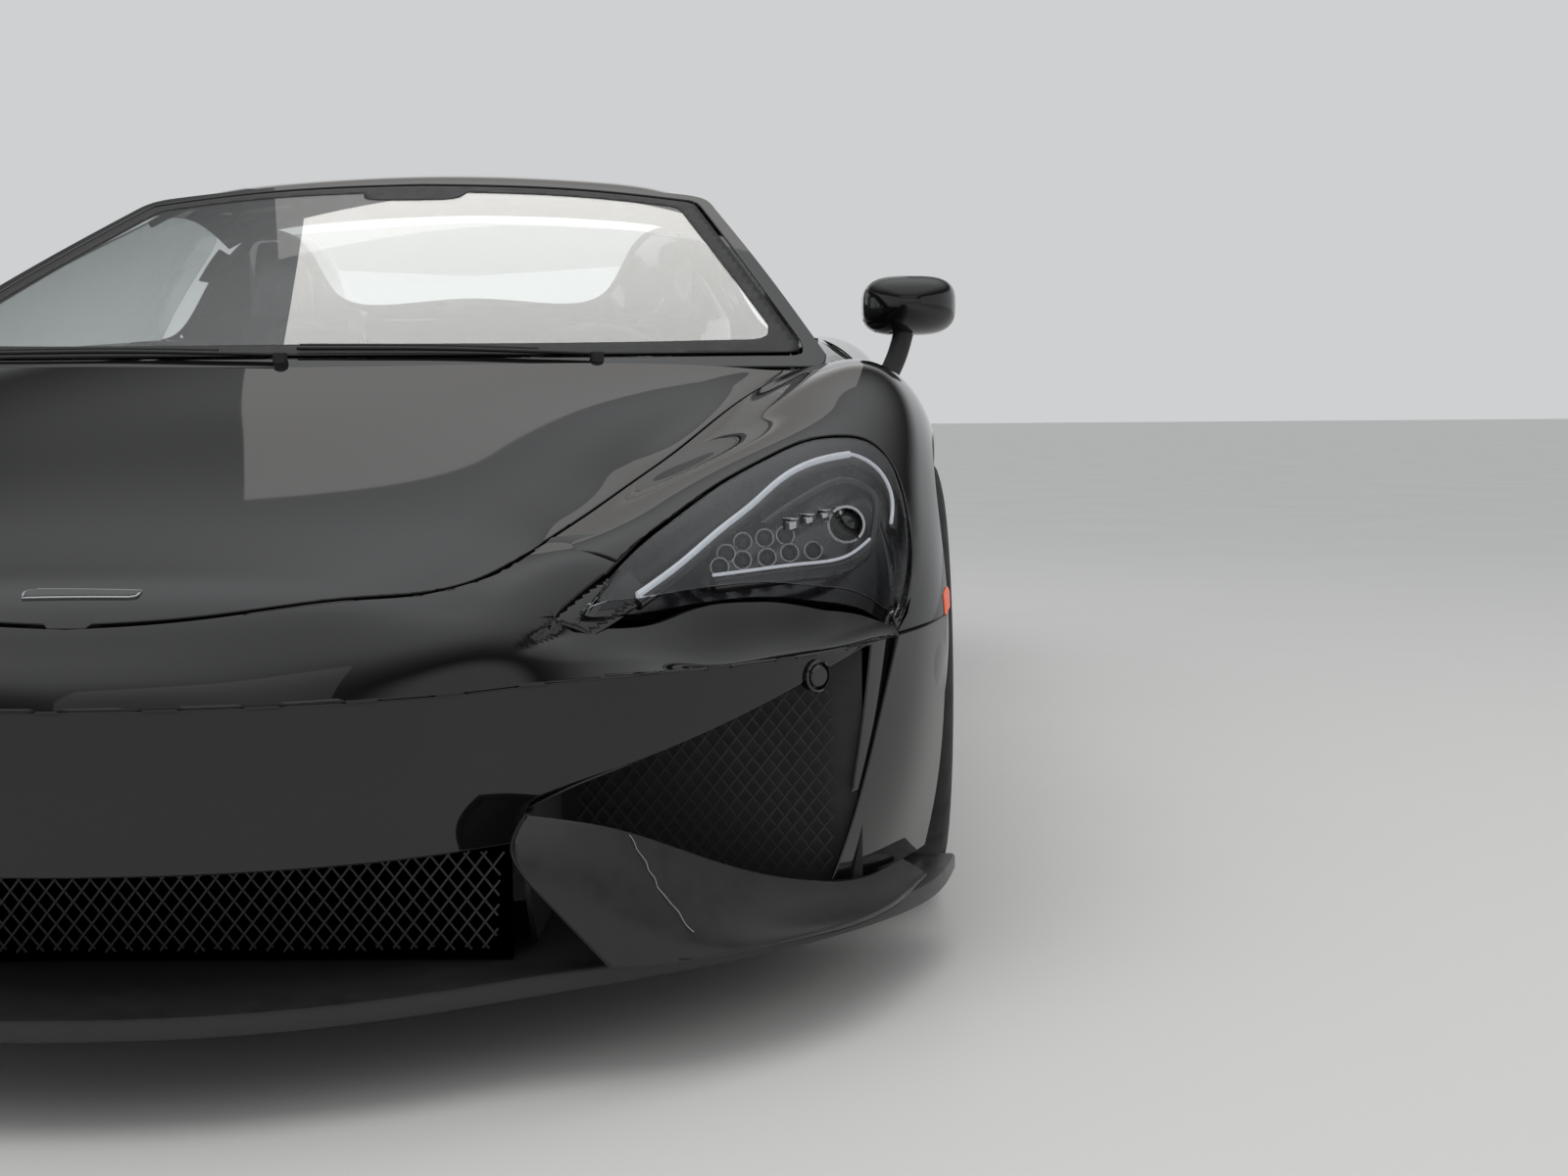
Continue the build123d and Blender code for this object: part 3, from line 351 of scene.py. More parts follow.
def slab(bm, poly, view, near, far, edge=1.5):
    """A plate with an outline drawn in a view, between two distances along the other axis."""
    axis = ({0, 1, 2} - set(view)).pop()
    part = bmesh.new()
    verts = []
    for p in poly:
        co = [0.0, 0.0, 0.0]
        co[view[0]], co[view[1]], co[axis] = p[0] * MM, p[1] * MM, near * MM
        verts.append(part.verts.new(co))
    face = part.faces.new(verts)
    made = bmesh.ops.extrude_face_region(part, geom=[face])["geom"]
    move = Vector((0, 0, 0))
    move[axis] = (far - near) * MM
    bmesh.ops.translate(part, vec=move, verts=[g for g in made if isinstance(g, bmesh.types.BMVert)])
    bmesh.ops.recalc_face_normals(part, faces=part.faces)
    if edge:
        sharp = [e for e in part.edges if e.calc_face_angle(0) > 0.6]
        bmesh.ops.bevel(
            part, geom=sharp, offset=edge * MM, segments=2, affect="EDGES", profile=0.5, material=-1
        )
    join(bm, part)


def piece(bm, name, material, body, replaced=(), thick=0.0, edge=0.0, angle=40.0, fine=0):
    """Makes the object, gives it a wall and rounded edges, and fastens it to its body."""
    mesh = bpy.data.meshes.new(name)
    bm.to_mesh(mesh)
    bm.free()
    mesh.materials.append(material)
    for p in mesh.polygons:
        p.use_smooth = True
    obj = bpy.data.objects.new(name, mesh)
    bpy.context.scene.collection.objects.link(obj)
    if thick:
        wall = obj.modifiers.new("wall", "SOLIDIFY")
        wall.thickness, wall.offset, wall.use_even_offset = thick * MM, -1.0, True
    if fine:
        smooth = obj.modifiers.new("smooth", "SUBSURF")
        smooth.levels = smooth.render_levels = fine
    if edge:
        bevel = obj.modifiers.new("edges", "BEVEL")
        bevel.width, bevel.segments, bevel.limit_method = edge * MM, 3, "ANGLE"
        bevel.angle_limit, bevel.harden_normals = math.radians(angle), True
        bevel.use_clamp_overlap = False
    else:
        mesh.set_sharp_from_angle(angle=math.radians(angle))
    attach(obj, body)
    if replaced:
        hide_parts(*([replaced] if isinstance(replaced, str) else replaced))
    return obj


# ------------------------------------------------------------------ finishes
def pattern_group():
    """One shader group that every finish takes its noise, cells and fine noise from."""
    group = bpy.data.node_groups.new("surface_pattern", "ShaderNodeTree")
    face = group.interface
    face.new_socket("Scale", in_out="INPUT", socket_type="NodeSocketFloat").default_value = 10.0
    face.new_socket("Stretch", in_out="INPUT", socket_type="NodeSocketVector").default_value = (1, 1, 1)
    for name in ("Noise", "Cells", "Fine"):
        face.new_socket(name, in_out="OUTPUT", socket_type="NodeSocketFloat")
    n, link = group.nodes, group.links.new
    source, sink = n.new("NodeGroupInput"), n.new("NodeGroupOutput")
    where, stretched = n.new("ShaderNodeTexCoord"), n.new("ShaderNodeVectorMath")
    stretched.operation = "MULTIPLY"
    link(where.outputs["Object"], stretched.inputs[0])
    link(source.outputs["Stretch"], stretched.inputs[1])
    for name, kind, factor in (("Noise", "Noise", 1), ("Cells", "Voronoi", 1), ("Fine", "Noise", 9)):
        scale, tex = n.new("ShaderNodeMath"), n.new(f"ShaderNodeTex{kind}")
        scale.operation = "MULTIPLY"
        scale.inputs[1].default_value = factor
        link(source.outputs["Scale"], scale.inputs[0])
        link(scale.outputs[0], tex.inputs["Scale"])
        link(stretched.outputs[0], tex.inputs["Vector"])
        link(tex.outputs["Distance" if kind == "Voronoi" else 0], sink.inputs[name])
    return group


PATTERN = pattern_group()


def finish(name, base, second=None, rough=(0.4, 0.5), bump=0.0, scale=10.0, stretch=(1, 1, 1),
           shade="Noise",
           height="Fine", depth=0.0005, **sockets):
    """A finish whose colour and roughness vary over the surface, with a fine relief."""
    material = bpy.data.materials.new(name)
    material.use_nodes = True
    n, link = material.node_tree.nodes, material.node_tree.links.new
    shader = n["Principled BSDF"]
    for socket, value in sockets.items():
        shader.inputs[socket.replace("_", " ")].default_value = value
    pattern = n.new("ShaderNodeGroup")
    pattern.node_tree = PATTERN
    pattern.inputs["Scale"].default_value = scale
    pattern.inputs["Stretch"].default_value = stretch
    second = second or [c * 1.35 + 0.002 for c in base]
    mix = n.new("ShaderNodeMix")
    mix.data_type = "RGBA"
    mix.inputs["A"].default_value, mix.inputs["B"].default_value = (*base, 1), (*second, 1)
    link(pattern.outputs[shade], mix.inputs["Factor"])
    link(mix.outputs["Result"], shader.inputs["Base Color"])
    spread = n.new("ShaderNodeMapRange")
    spread.inputs["To Min"].default_value, spread.inputs["To Max"].default_value = rough
    spread.inputs["From Min"].default_value, spread.inputs["From Max"].default_value = 0.3, 0.7
    link(pattern.outputs["Noise"], spread.inputs["Value"])
    link(spread.outputs["Result"], shader.inputs["Roughness"])
    if bump:
        relief = n.new("ShaderNodeBump")
        relief.inputs["Strength"].default_value, relief.inputs["Distance"].default_value = bump, depth
        link(pattern.outputs[height], relief.inputs["Height"])
        link(relief.outputs["Normal"], shader.inputs["Normal"])
    return material


def lamp(name, colour, strength):
    """A finish that glows a little: lamp light on the lamps, and a painted glow on the side reflectors."""
    material = finish(name, colour, rough=(0.2, 0.3), scale=40)
    shader = material.node_tree.nodes["Principled BSDF"]
    shader.inputs["Emission Color"].default_value = (*colour, 1)
    shader.inputs["Emission Strength"].default_value = strength
    return material


FINISHES = {}


def lifted(colour, *by):
    """A colour made a little lighter, for the paler part of a finish's pattern."""
    return tuple(c + step for c, step in zip(colour, by))


def make_finishes():
    """Every finish of the car, by its plain name."""
    F, body = FINISHES, bpy.context.scene.supercar_body
    F["paint"] = finish("gloss_black_paint", body.paint_colour,
                        lifted(body.paint_colour, 0.002, 0.002, 0.0017), rough=(0.02, 0.04),
                        scale=3, bump=0.01, height="Fine", depth=0.0002, Coat_Weight=0.15, Coat_Roughness=0.02)
    F["gloss"] = finish("gloss_black_plastic", (0.006, 0.006, 0.006), rough=(0.07, 0.11), scale=6,
                        Coat_Weight=0.5)
    F["satin"] = finish("satin_black_composite", body.trim_colour,
                        lifted(body.trim_colour, 0.008, 0.008, 0.008), rough=(0.3, 0.4),
                        scale=35, bump=0.08, depth=0.0003)
    F["plastic"] = finish("black_moulded_plastic", (0.012, 0.012, 0.012), rough=(0.5, 0.62), scale=60,
                          bump=0.25,
                          height="Cells", depth=0.0003)
    F["under"] = finish("underbody_composite", (0.014, 0.014, 0.015), rough=(0.55, 0.8), scale=12, bump=0.2)
    F["mesh"] = finish("grille_mesh", (0.01, 0.01, 0.01), rough=(0.35, 0.5), scale=50, bump=0.1)
    F["rubber"] = finish("tyre_rubber", (0.011, 0.011, 0.012), (0.02, 0.019, 0.018), rough=(0.62, 0.8),
                         scale=14,
                         bump=0.15, depth=0.0004)
    F["rim"] = finish("dark_satin_alloy", body.wheel_colour, lifted(body.wheel_colour, 0.015, 0.015, 0.015),
                      rough=(0.22, 0.3), scale=9,
                      bump=0.05, Metallic=0.85, Coat_Weight=0.4)
    F["disc"] = finish("brake_disc_iron", (0.3, 0.3, 0.31), (0.38, 0.37, 0.36), rough=(0.22, 0.36), scale=6,
                       stretch=(1, 30, 1), bump=0.1, Metallic=1.0)
    F["caliper"] = finish("caliper_enamel", body.caliper_colour, rough=(0.25, 0.35), scale=20,
                          Coat_Weight=0.6)
    F["steel"] = finish("plain_steel", (0.22, 0.22, 0.23), (0.3, 0.29, 0.28), rough=(0.35, 0.5), scale=25,
                        bump=0.1, Metallic=1.0)
    F["alloy"] = finish("bright_alloy", (0.5, 0.5, 0.51), (0.58, 0.58, 0.58), rough=(0.2, 0.32), scale=30,
                        stretch=(1, 6, 1), bump=0.05, Metallic=1.0)
    F["cast"] = finish("cast_housing", (0.06, 0.06, 0.06), (0.1, 0.1, 0.1), rough=(0.5, 0.7), scale=18,
                       bump=0.3,
                       depth=0.001, Metallic=0.6)
    F["leather"] = finish("dark_leather", (0.028, 0.028, 0.03), (0.04, 0.039, 0.04), rough=(0.42, 0.55),
                          scale=420, bump=0.35, height="Cells", shade="Cells", depth=0.0005)
    F["suede"] = finish("dark_suede", (0.035, 0.035, 0.037), (0.055, 0.054, 0.055), rough=(0.85, 0.95),
                        scale=90,
                        bump=0.2, Sheen_Weight=0.35, Sheen_Roughness=0.4)
    F["trim"] = finish("soft_cabin_trim", (0.022, 0.022, 0.023), (0.032, 0.032, 0.033), rough=(0.55, 0.65),
                       scale=300, bump=0.25, height="Cells", depth=0.0004)
    F["carpet"] = finish("cabin_carpet", (0.018, 0.018, 0.018), (0.035, 0.035, 0.035), rough=(0.9, 1.0),
                         scale=500,
                         bump=0.6, height="Noise", shade="Noise", depth=0.001)
    F["glass"] = finish("clear_glass", (0.86, 0.9, 0.89), (0.88, 0.92, 0.91), rough=(0.0, 0.012), scale=2,
                        Transmission_Weight=1.0, IOR=1.45, Coat_Weight=0.0)
    F["cover"] = finish("lamp_cover", (0.75, 0.76, 0.78), (0.78, 0.79, 0.8), rough=(0.0, 0.015), scale=2,
                        Transmission_Weight=1.0, IOR=1.35)
    F["frit"] = finish("glass_border", (0.006, 0.006, 0.006), rough=(0.45, 0.55), scale=30)
    F["smoke"] = finish("smoked_lamp_inside", (0.012, 0.012, 0.014), rough=(0.2, 0.3), scale=30,
                        Coat_Weight=0.4)
    F["led"] = lamp("lamp_light_guide", (0.72, 0.75, 0.8), 0.4)
    F["red"] = lamp("red_lamp_cover", (0.35, 0.006, 0.004), 0.25)
    # painted glow: the side reflector is a passive reflector, not a lamp; its faint amber emission stands in for the
    # light it reflects
    F["amber"] = lamp("painted_glow_side_reflector", (0.62, 0.07, 0.01), 0.15)
    F["plate"] = finish("blank_plate", (0.5, 0.5, 0.5), (0.54, 0.54, 0.54), rough=(0.3, 0.4), scale=40)
    F["screen"] = finish("dark_display", (0.008, 0.009, 0.01), rough=(0.08, 0.14), scale=20,
                         Coat_Weight=0.5)
    F["scratch"] = finish("bared_primer", (0.2, 0.2, 0.19), (0.32, 0.31, 0.3), rough=(0.6, 0.8), scale=80)


# ------------------------------------------------------------------ the body's styling lines, x, y, z
CENTRE = Line(
    (2200, 0, 455), (2150, 0, 503), (2050, 0, 546), (1900, 0, 588), (1700, 0, 640), (1400, 0, 713), (1110,
        0, 790), (900, 0, 840), (600, 0, 900)
)
CREASE = Line(
    (2200, 95, 452), (2150, 180, 495), (2050, 265, 534), (1900, 338, 573), (1750, 385, 608), (1600, 425,
        642), (1400, 477, 688), (1170, 555, 742),
    (1000, 625, 775), (850, 690, 795), (600, 740, 815)
)
VALLEY = Line(
    (2200, 135, 446), (2150, 245, 480), (2050, 345, 513), (1888, 438, 554), (1750, 478, 583), (1600, 520,
        615), (1400, 571, 655), (1170, 650, 722),
    (1000, 715, 762), (850, 765, 783), (600, 795, 795)
)
CROWN = Line(
    (2200, 165, 438), (2150, 290, 458), (2050, 415, 485), (1900, 515, 545), (1750, 602, 597), (1600, 705,
        655), (1500, 765, 688), (1400, 800, 718),
    (1300, 818, 748), (1170, 830, 775), (1000, 838, 787), (850, 840, 785), (600, 832, 788)
)
SHOULDER = Line(
    (2200, 182, 428), (2150, 312, 440), (2050, 442, 456), (1900, 592, 490), (1750, 735, 530), (1600, 850,
        572), (1450, 905, 615), (1300, 925, 665),
    (1170, 932, 695), (1000, 935, 705), (850, 930, 705), (600, 918, 706)
)
SIDE = Line(
    (2200, 190, 418), (2150, 325, 418), (2050, 458, 420), (1900, 650, 425), (1750, 810, 430), (1600, 910,
        436), (1450, 945, 448), (1300, 955, 468),
    (1170, 958, 485), (1000, 956, 492), (850, 952, 496), (600, 942, 505)
)
FRONT_LOWER = Line((2200, 190, 330), (1905, 650, 330), (1750, 806, 322), (1600, 905, 315), (1450, 938, 310),
                   (1170, 950, 310), (850, 944, 310), (600, 940, 310))
FRONT_EDGE = Line((2200, 190, 225), (1905, 640, 225), (1750, 792, 225), (1600, 885, 225), (1450, 915, 225),
                  (1170, 922, 225), (600, 915, 225))
FRONT_LINES = [CENTRE, CREASE, VALLEY, CROWN, SHOULDER, SIDE]
FENDER_LINES = FRONT_LINES + [FRONT_LOWER, FRONT_EDGE]

# styling lines, doors
BELT = Line((700, 835, 785), (400, 812, 812), (100, 795, 838), (-200, 785, 858), (-500, 790, 874))
DOOR_SHOULDER = Line((700, 920, 706), (400, 908, 716), (100, 895, 728), (-200, 890, 745), (-500, 895, 768))
SCALLOP = Line((700, 946, 505), (400, 930, 520), (100, 900, 535), (-200, 868, 545), (-500, 838, 550))
DOOR_LOWER = Line((700, 938, 310), (400, 936, 310), (100, 938, 310), (-200, 944, 310), (-500, 950, 310))

# styling lines, tail
DECK = Line((-440, 0, 965), (-800, 0, 940), (-1100, 0, 912), (-1500, 0, 880), (-1900, 0, 862),
            (-2250, 0, 856))
DECK_VALLEY = Line((-440, 290, 968), (-800, 290, 942), (-1100, 290, 914), (-1500, 300, 882),
                   (-1900, 300, 862), (-2250, 290, 855))
BUTTRESS_IN = Line((-440, 370, 1085), (-800, 370, 1036), (-1100, 375, 970), (-1500, 385, 896),
                   (-1900, 390, 862), (-2250, 380, 853))
BUTTRESS_TOP = Line((-440, 470, 1120), (-800, 465, 1068), (-1100, 465, 993), (-1500, 470, 905),
                    (-1900, 470, 862), (-2250, 460, 851))
BUTTRESS_OUT = Line((-440, 590, 1010), (-800, 585, 975), (-1100, 585, 930), (-1500, 585, 890),
                    (-1900, 575, 858), (-2250, 560, 848))
DECK_EDGE = Line((-440, 680, 885), (-800, 685, 885), (-1100, 690, 885), (-1500, 690, 882),
                 (-1900, 680, 858), (-2250, 650, 845))
HAUNCH = Line(
    (-440, 790, 868), (-700, 800, 880), (-1000, 812, 893), (-1300, 820, 900), (-1500, 822, 899), (-1700,
        818, 890), (-1900, 805, 872),
    (-2100, 780, 852), (-2250, 740, 836)
)
REAR_SHOULDER = Line(
    (-440, 905, 765), (-700, 918, 790), (-1000, 938, 810), (-1300, 948, 815), (-1500, 950, 812), (-1700,
        944, 802), (-1900, 924, 786),
    (-2100, 885, 766), (-2250, 840, 752)
)
REAR_SIDE = Line(
    (-440, 938, 560), (-700, 948, 560), (-1000, 956, 560), (-1300, 959, 560), (-1500, 959, 562), (-1700,
        954, 566), (-1900, 936, 576),
    (-2100, 897, 590), (-2250, 852, 600)
)
REAR_LOWER = Line((-440, 948, 320), (-1000, 954, 330), (-1500, 955, 350), (-1900, 930, 370),
                  (-2100, 890, 380), (-2250, 845, 390))
REAR_EDGE = Line((-440, 915, 150), (-1000, 925, 160), (-1500, 925, 180), (-1900, 905, 190),
                 (-2250, 820, 200))
REAR_LINES = [DECK, DECK_VALLEY, BUTTRESS_IN, BUTTRESS_TOP, BUTTRESS_OUT, DECK_EDGE, HAUNCH, REAR_SHOULDER,
              REAR_SIDE, REAR_LOWER, REAR_EDGE]
DOOR_BOTTOM = Line((700, 915, 225), (-500, 925, 225))
DOOR_LINES = [BELT, DOOR_SHOULDER, SCALLOP, DOOR_LOWER, DOOR_BOTTOM]
FRONT = Skin(FRONT_LINES, True)
FENDER = Skin(FENDER_LINES, True)
DOOR = Skin(DOOR_LINES, False)
REAR = Skin(REAR_LINES, True)


def on_skin(skin, points, low=0.0, high=5.0):
    """The places on a body surface that lie at points seen from above."""
    p = np.array(points, float)
    lo, hi = np.full(len(p), low), np.full(len(p), high)
    for _ in range(30):
        mid = (lo + hi) / 2
        under = skin(p[:, 0], mid)[:, 1] < p[:, 1]
        lo, hi = np.where(under, mid, lo), np.where(under, hi, mid)
    return skin(p[:, 0], (lo + hi) / 2)


# ------------------------------------------------------------------ shut lines
GAP = 4.0
VALLEY_RUN = [(x, float(VALLEY.y(x)[0])) for x in (1888, 1750, 1600, 1400, 1170, 1000)]
BONNET_FRONT = run((2156, 0), (2149, 90), (2131, 175), (2096, 258), (2045, 333), (1975, 395), (1888, 438))
BONNET_SIDE = run(*VALLEY_RUN, (918, 745))
BONNET_REAR = run((918, 745), (970, 660), (1050, 500), (1104, 350), (1142, 180), (1156, 0))
BONNET_EDGE = whole_outline(BONNET_FRONT, BONNET_SIDE, BONNET_REAR)
LAMP_EDGE = outline(
    run((1968, 504), (1888, 539), (1782, 591), (1690, 642), (1612, 701), (1556, 747), (1518, 796),
        (1496, 838),
        (1504, 864), (1536, 878), (1582, 884), (1630, 878), (1672, 863), (1692, 845)),
    run((1692, 845), (1714, 814), (1758, 761), (1802, 703), (1878, 611), (1924, 558), (1968, 504)),
)
DOOR_EDGE = chained([(702, 560), (690, 300)], [(676, 255), (636, 238), (560, 236)], [(-250, 236)],
                    [(-325, 240), (-362, 290), (-405, 560), (-438, 780),
                     (-445, 900)], [(-445, 1000)], [(690, 1000)], [(690, 800)])
TONNEAU_EDGE = whole_outline(
    run((-460, 0), (-460, 640)),
    run((-460, 640), (-480, 668), (-560, 680), (-800, 688), (-1100, 691), (-1380, 690)),
    run((-1380, 690), (-1450, 684), (-1488, 640), (-1500, 560), (-1505, 0)),
)


def circle(x, z, radius, count=120):
    """A circle seen from the side."""
    t = np.linspace(0, math.tau, count, endpoint=False)
    return np.stack([x + radius * np.cos(t), z + radius * np.sin(t)], 1)


FRONT_ARCH = circle(1170, 320, 354)
REAR_ARCH = circle(-1500, 354, 388)


# ------------------------------------------------------------------ the nose's rails
def raised(points, low=0.0):
    """Plan points laid on the front body surface."""
    return on_skin(FRONT, points, low)


NOSE_INNER = raised([(2096, 0), (2090, 85), (2072, 160), (2040, 225), (1995, 280), (1915, 335), (1790, 375),
                     (1770, 490), (1720, 570), (1650, 650), (1580, 760)])
NOSE_SHUT = raised([(2156, 0), (2149, 90), (2131, 175), (2096, 258), (2045, 333), (1975, 395), (1866, 440),
                    (1838, 560), (1785, 650), (1718, 735), (1640, 832)])
NOSE_EDGE_PLAN = [(2221, 0), (2214, 110), (2194, 205), (2160, 298), (2112, 378), (2050, 458), (1982, 572),
                  (1930, 650), (1868, 728), (1785, 805), (1690, 864)]
NOSE_EDGE = np.array([(x, y, 419 if y < 330 else float(SIDE.z(x)[0])) for x, y in NOSE_EDGE_PLAN])


def between(part, plan_part):
    """A nose rail part of the way from the shut line to the nose's edge."""
    plan = NOSE_SHUT[:, :2] + (NOSE_EDGE[:, :2] - NOSE_SHUT[:, :2]) * plan_part
    return raised(np.minimum(plan, [2211, 2000]))


NOSE = Loft(NOSE_INNER, NOSE_SHUT, between(0.45, 0.45), between(0.8, 0.82), NOSE_EDGE)


def dropped(level, back):
    """The nose's edge moved down to a level and back towards the wheels."""
    p = NOSE_EDGE.copy()
    p[:, 0] -= back
    p[:, 2] = level
    return p


FACE = Loft(NOSE_EDGE, dropped(375, 3), dropped(330, 6), dropped(290, 10), dropped(249, 14))
CORNER_INTAKE = chained([(440, 282), (470, 300), (552, 322), (680, 366), (827, 430)],
                        [(815, 330), (800, 235)], [(436, 235)])
CORNER_PANEL = Loft(
    [(1712, 862, 434), (1640, 899, 437), (1540, 934, 441)],
    [(1738, 838, 340), (1650, 890, 335), (1536, 931, 330)],
    [(1772, 806, 225), (1672, 868, 222), (1532, 922, 220)],
    [(1800, 772, 134), (1690, 838, 132), (1528, 905, 131)],
)
BLADE = Loft(
    [(2104, 452, 292), (2084, 508, 280), (2040, 562, 258), (1965, 642, 212), (1888, 722, 174),
     (1780, 806, 148), (1640, 868, 140)],
    [(2128, 440, 258), (2112, 506, 240), (2066, 584, 208), (1992, 664, 168), (1910, 744, 146),
     (1800, 824, 136), (1655, 885, 133)],
    [(2132, 474, 206), (2116, 540, 178), (2076, 616, 152), (2010, 692, 138), (1928, 770, 131),
     (1812, 842, 128), (1665, 896, 127)],
    [(2116, 540, 130), (2094, 592, 127), (2056, 652, 126), (2000, 716, 126), (1920, 790, 126),
     (1812, 852, 126), (1668, 900, 126)],
)
SPLITTER_EDGE = whole_outline(
    run((2262, 0), (2246, 165), (2188, 330), (2125, 440), (1990, 650), (1835, 815), (1690, 905),
        (1530, 945)),
    run((1530, 945), (1530, 700)),
    run((1530, 700), (1700, 560), (1900, 0)),
)


def screen_x(y, z):
    """How far forward the windscreen lies at y and z."""
    bulge = spline((770, 980, 1190), (0, 22, 0), z)
    return 1110 - 260 * (np.asarray(y) / 770.0) ** 2 - 2.67 * (np.asarray(z) - 791) + bulge


class Screen:
    """The windscreen's surface: a is y, and b is the height."""

    def __init__(self, ahead=0.0):
        self.ahead = ahead

    def __call__(self, a, b):
        a, b = np.atleast_1d(a).astype(float), np.atleast_1d(b).astype(float)
        return np.stack([screen_x(a, b) + self.ahead, a, b], 1)


def mirrored_front(*runs):
    """A half outline seen from the front, from the bottom centre round to the top centre, made whole."""
    half = np.concatenate([r[:-1] for r in runs[:-1]] + [runs[-1]])
    back = half[::-1] * [-1, 1]
    return np.concatenate([half, back[1:-1]])


GLASS_EDGE = mirrored_front(
    run((0, 797), (400, 798), (715, 803)),
    run((715, 803), (742, 808), (738, 822)),
    run((738, 822), (640, 968), (548, 1100)),
    run((548, 1100), (536, 1114), (515, 1120)),
    run((515, 1120), (300, 1142), (0, 1152)),
)
FRIT_HOLE = mirrored_front(
    run((0, 815), (400, 817), (640, 824)),
    run((640, 824), (688, 832), (690, 852)),
    run((690, 852), (610, 965), (523, 1084)),
    run((523, 1084), (508, 1101), (480, 1108)),
    run((480, 1108), (300, 1126), (100, 1134)),
    run((100, 1134), (92, 1122), (70, 1116), (0, 1114)),
)
FRAME_HOLE = mirrored_front(
    run((0, 792), (400, 793), (724, 798)),
    run((724, 798), (748, 804), (744, 826)),
    run((744, 826), (645, 974), (553, 1106)),
    run((553, 1106), (538, 1121), (515, 1126)),
    run((515, 1126), (300, 1148), (0, 1158)),
)
FRAME_EDGE = mirrored_front(
    run((0, 776), (400, 777), (745, 779)),
    run((745, 779), (782, 784), (788, 800)),
    run((788, 800), (690, 950), (580, 1105)),
    run((580, 1105), (560, 1128), (520, 1140)),
    run((520, 1140), (300, 1158), (0, 1168)),
)
WINDOW_EDGE = chained([(690, 806)], [(400, 952), (130, 1062), (24, 1104)],
                      [(-100, 1117), (-250, 1115), (-372, 1106)], [(-418, 1090), (-436, 1040),
                          (-440, 870)], [(-435, 815), (-420, 800)], [(690, 800)])
ROOF = Loft(*[
    [(x, y, z - drop) for y, drop in ((-552, 72), (-470, 36), (-300, 12), (0, 0), (300, 12), (470, 36),
                                      (552, 72))]
    for x, z in ((110, 1158), (60, 1174), (-20, 1191), (-120, 1199), (-250, 1193), (-360, 1178),
                 (-452, 1160))
])
LAMP_LOWER = np.array([(1924, 558), (1878, 611), (1802, 703), (1758, 761), (1714, 814), (1692, 845)], float)
BROW = np.array([(2054, 438), (2008, 506), (1954, 578), (1868, 686), (1796, 761), (1718, 826), (1692, 845)],
                float)
CHANNEL_TOP = np.concatenate([[(2054, 438), (1968, 504)], LAMP_LOWER])
CHANNEL = np.concatenate([BROW, [(1690, 780), (1800, 640), (1885, 553), (1962, 500)]])
WEDGE = np.array([(1998, 472), (1880, 543.7), (1890, 562), (1964, 506)], float)
CHANNEL_DEPTH = 13.0
LIGHT_GUIDE = [(1912, 557, 508), (1846, 602, 538), (1772, 645, 572), (1710, 682, 599), (1642, 722, 631),
               (1588, 764, 649),
               (1544, 806, 656), (1534, 841, 638), (1552, 859, 605), (1594, 857, 569)]
INNER_RING = [(1722, 694, 585), (1680, 722, 603), (1624, 763, 625), (1578, 806, 633), (1572, 836, 613),
              (1600, 838, 587),
              (1642, 828, 554), (1694, 794, 535), (1744, 742, 531), (1830, 639, 525)]
LIGHT_BAR = [(1642, 828, 554), (1694, 794, 535), (1744, 742, 531), (1790, 688, 528), (1830, 639, 525)]
LAMP_CELLS = [(1780, 653, 561), (1752, 672, 573), (1730, 698, 576), (1710, 723, 578), (1802, 646, 547),
              (1776, 672, 553),
              (1752, 701, 554), (1728, 728, 558), (1704, 757, 559)]
MIRROR_HEAD = [
    (462, 80, 47, 940, 893), (474, 84, 52, 940, 894), (515, 82, 52, 941, 895), (552, 70, 45, 941, 896),
    (580, 46, 30, 940, 897), (594, 20, 13, 938, 897),
]


# ------------------------------------------------------------------ operators
class CarOperator:
    """What every builder of a piece shares."""

    bl_options = {"REGISTER", "UNDO"}


class BuildBonnet(CarOperator, bpy.types.Operator):
    """Builds the bonnet skin with its blank badge plate"""

    bl_idname = "supercar.bonnet"
    bl_label = "Bonnet"

    def execute(self, context):
        bm = bmesh.new()
        sheet(bm, FRONT, (912, 2160), (-2.2, 2.2), (116, 130), (0, 0, 1), (PLAN, BONNET_EDGE, True))
        piece(bm, "bonnet_skin", FINISHES["paint"], "bonnet", "bonnet", 14, 1.6)
        bm = bmesh.new()
        plate = chained([(2122, 52)], [(2119, 60), (2108, 62)], [(2104, -50)], [(2110, -60), (2122, -58)])
        sheet(bm, FRONT, (2100, 2126), (-0.9, 0.9), (14, 60), (0, 0, 1), (PLAN, plate, True))
        for v in bm.verts:
            v.co.z += 0.0025
        piece(bm, "badge_plate", FINISHES["alloy"], "bonnet", (), 3, 0.6)
        bm = bmesh.new()
        sheet(bm, FRONT, (2100, 2126), (-0.9, 0.9), (14, 60), (0, 0, 1), (PLAN, grown(plate, -2.4), True))
        for v in bm.verts:
            v.co.z += 0.0032
        piece(bm, "badge_insert", FINISHES["gloss"], "bonnet", (), 1.5, 0.2)
        return {"FINISHED"}


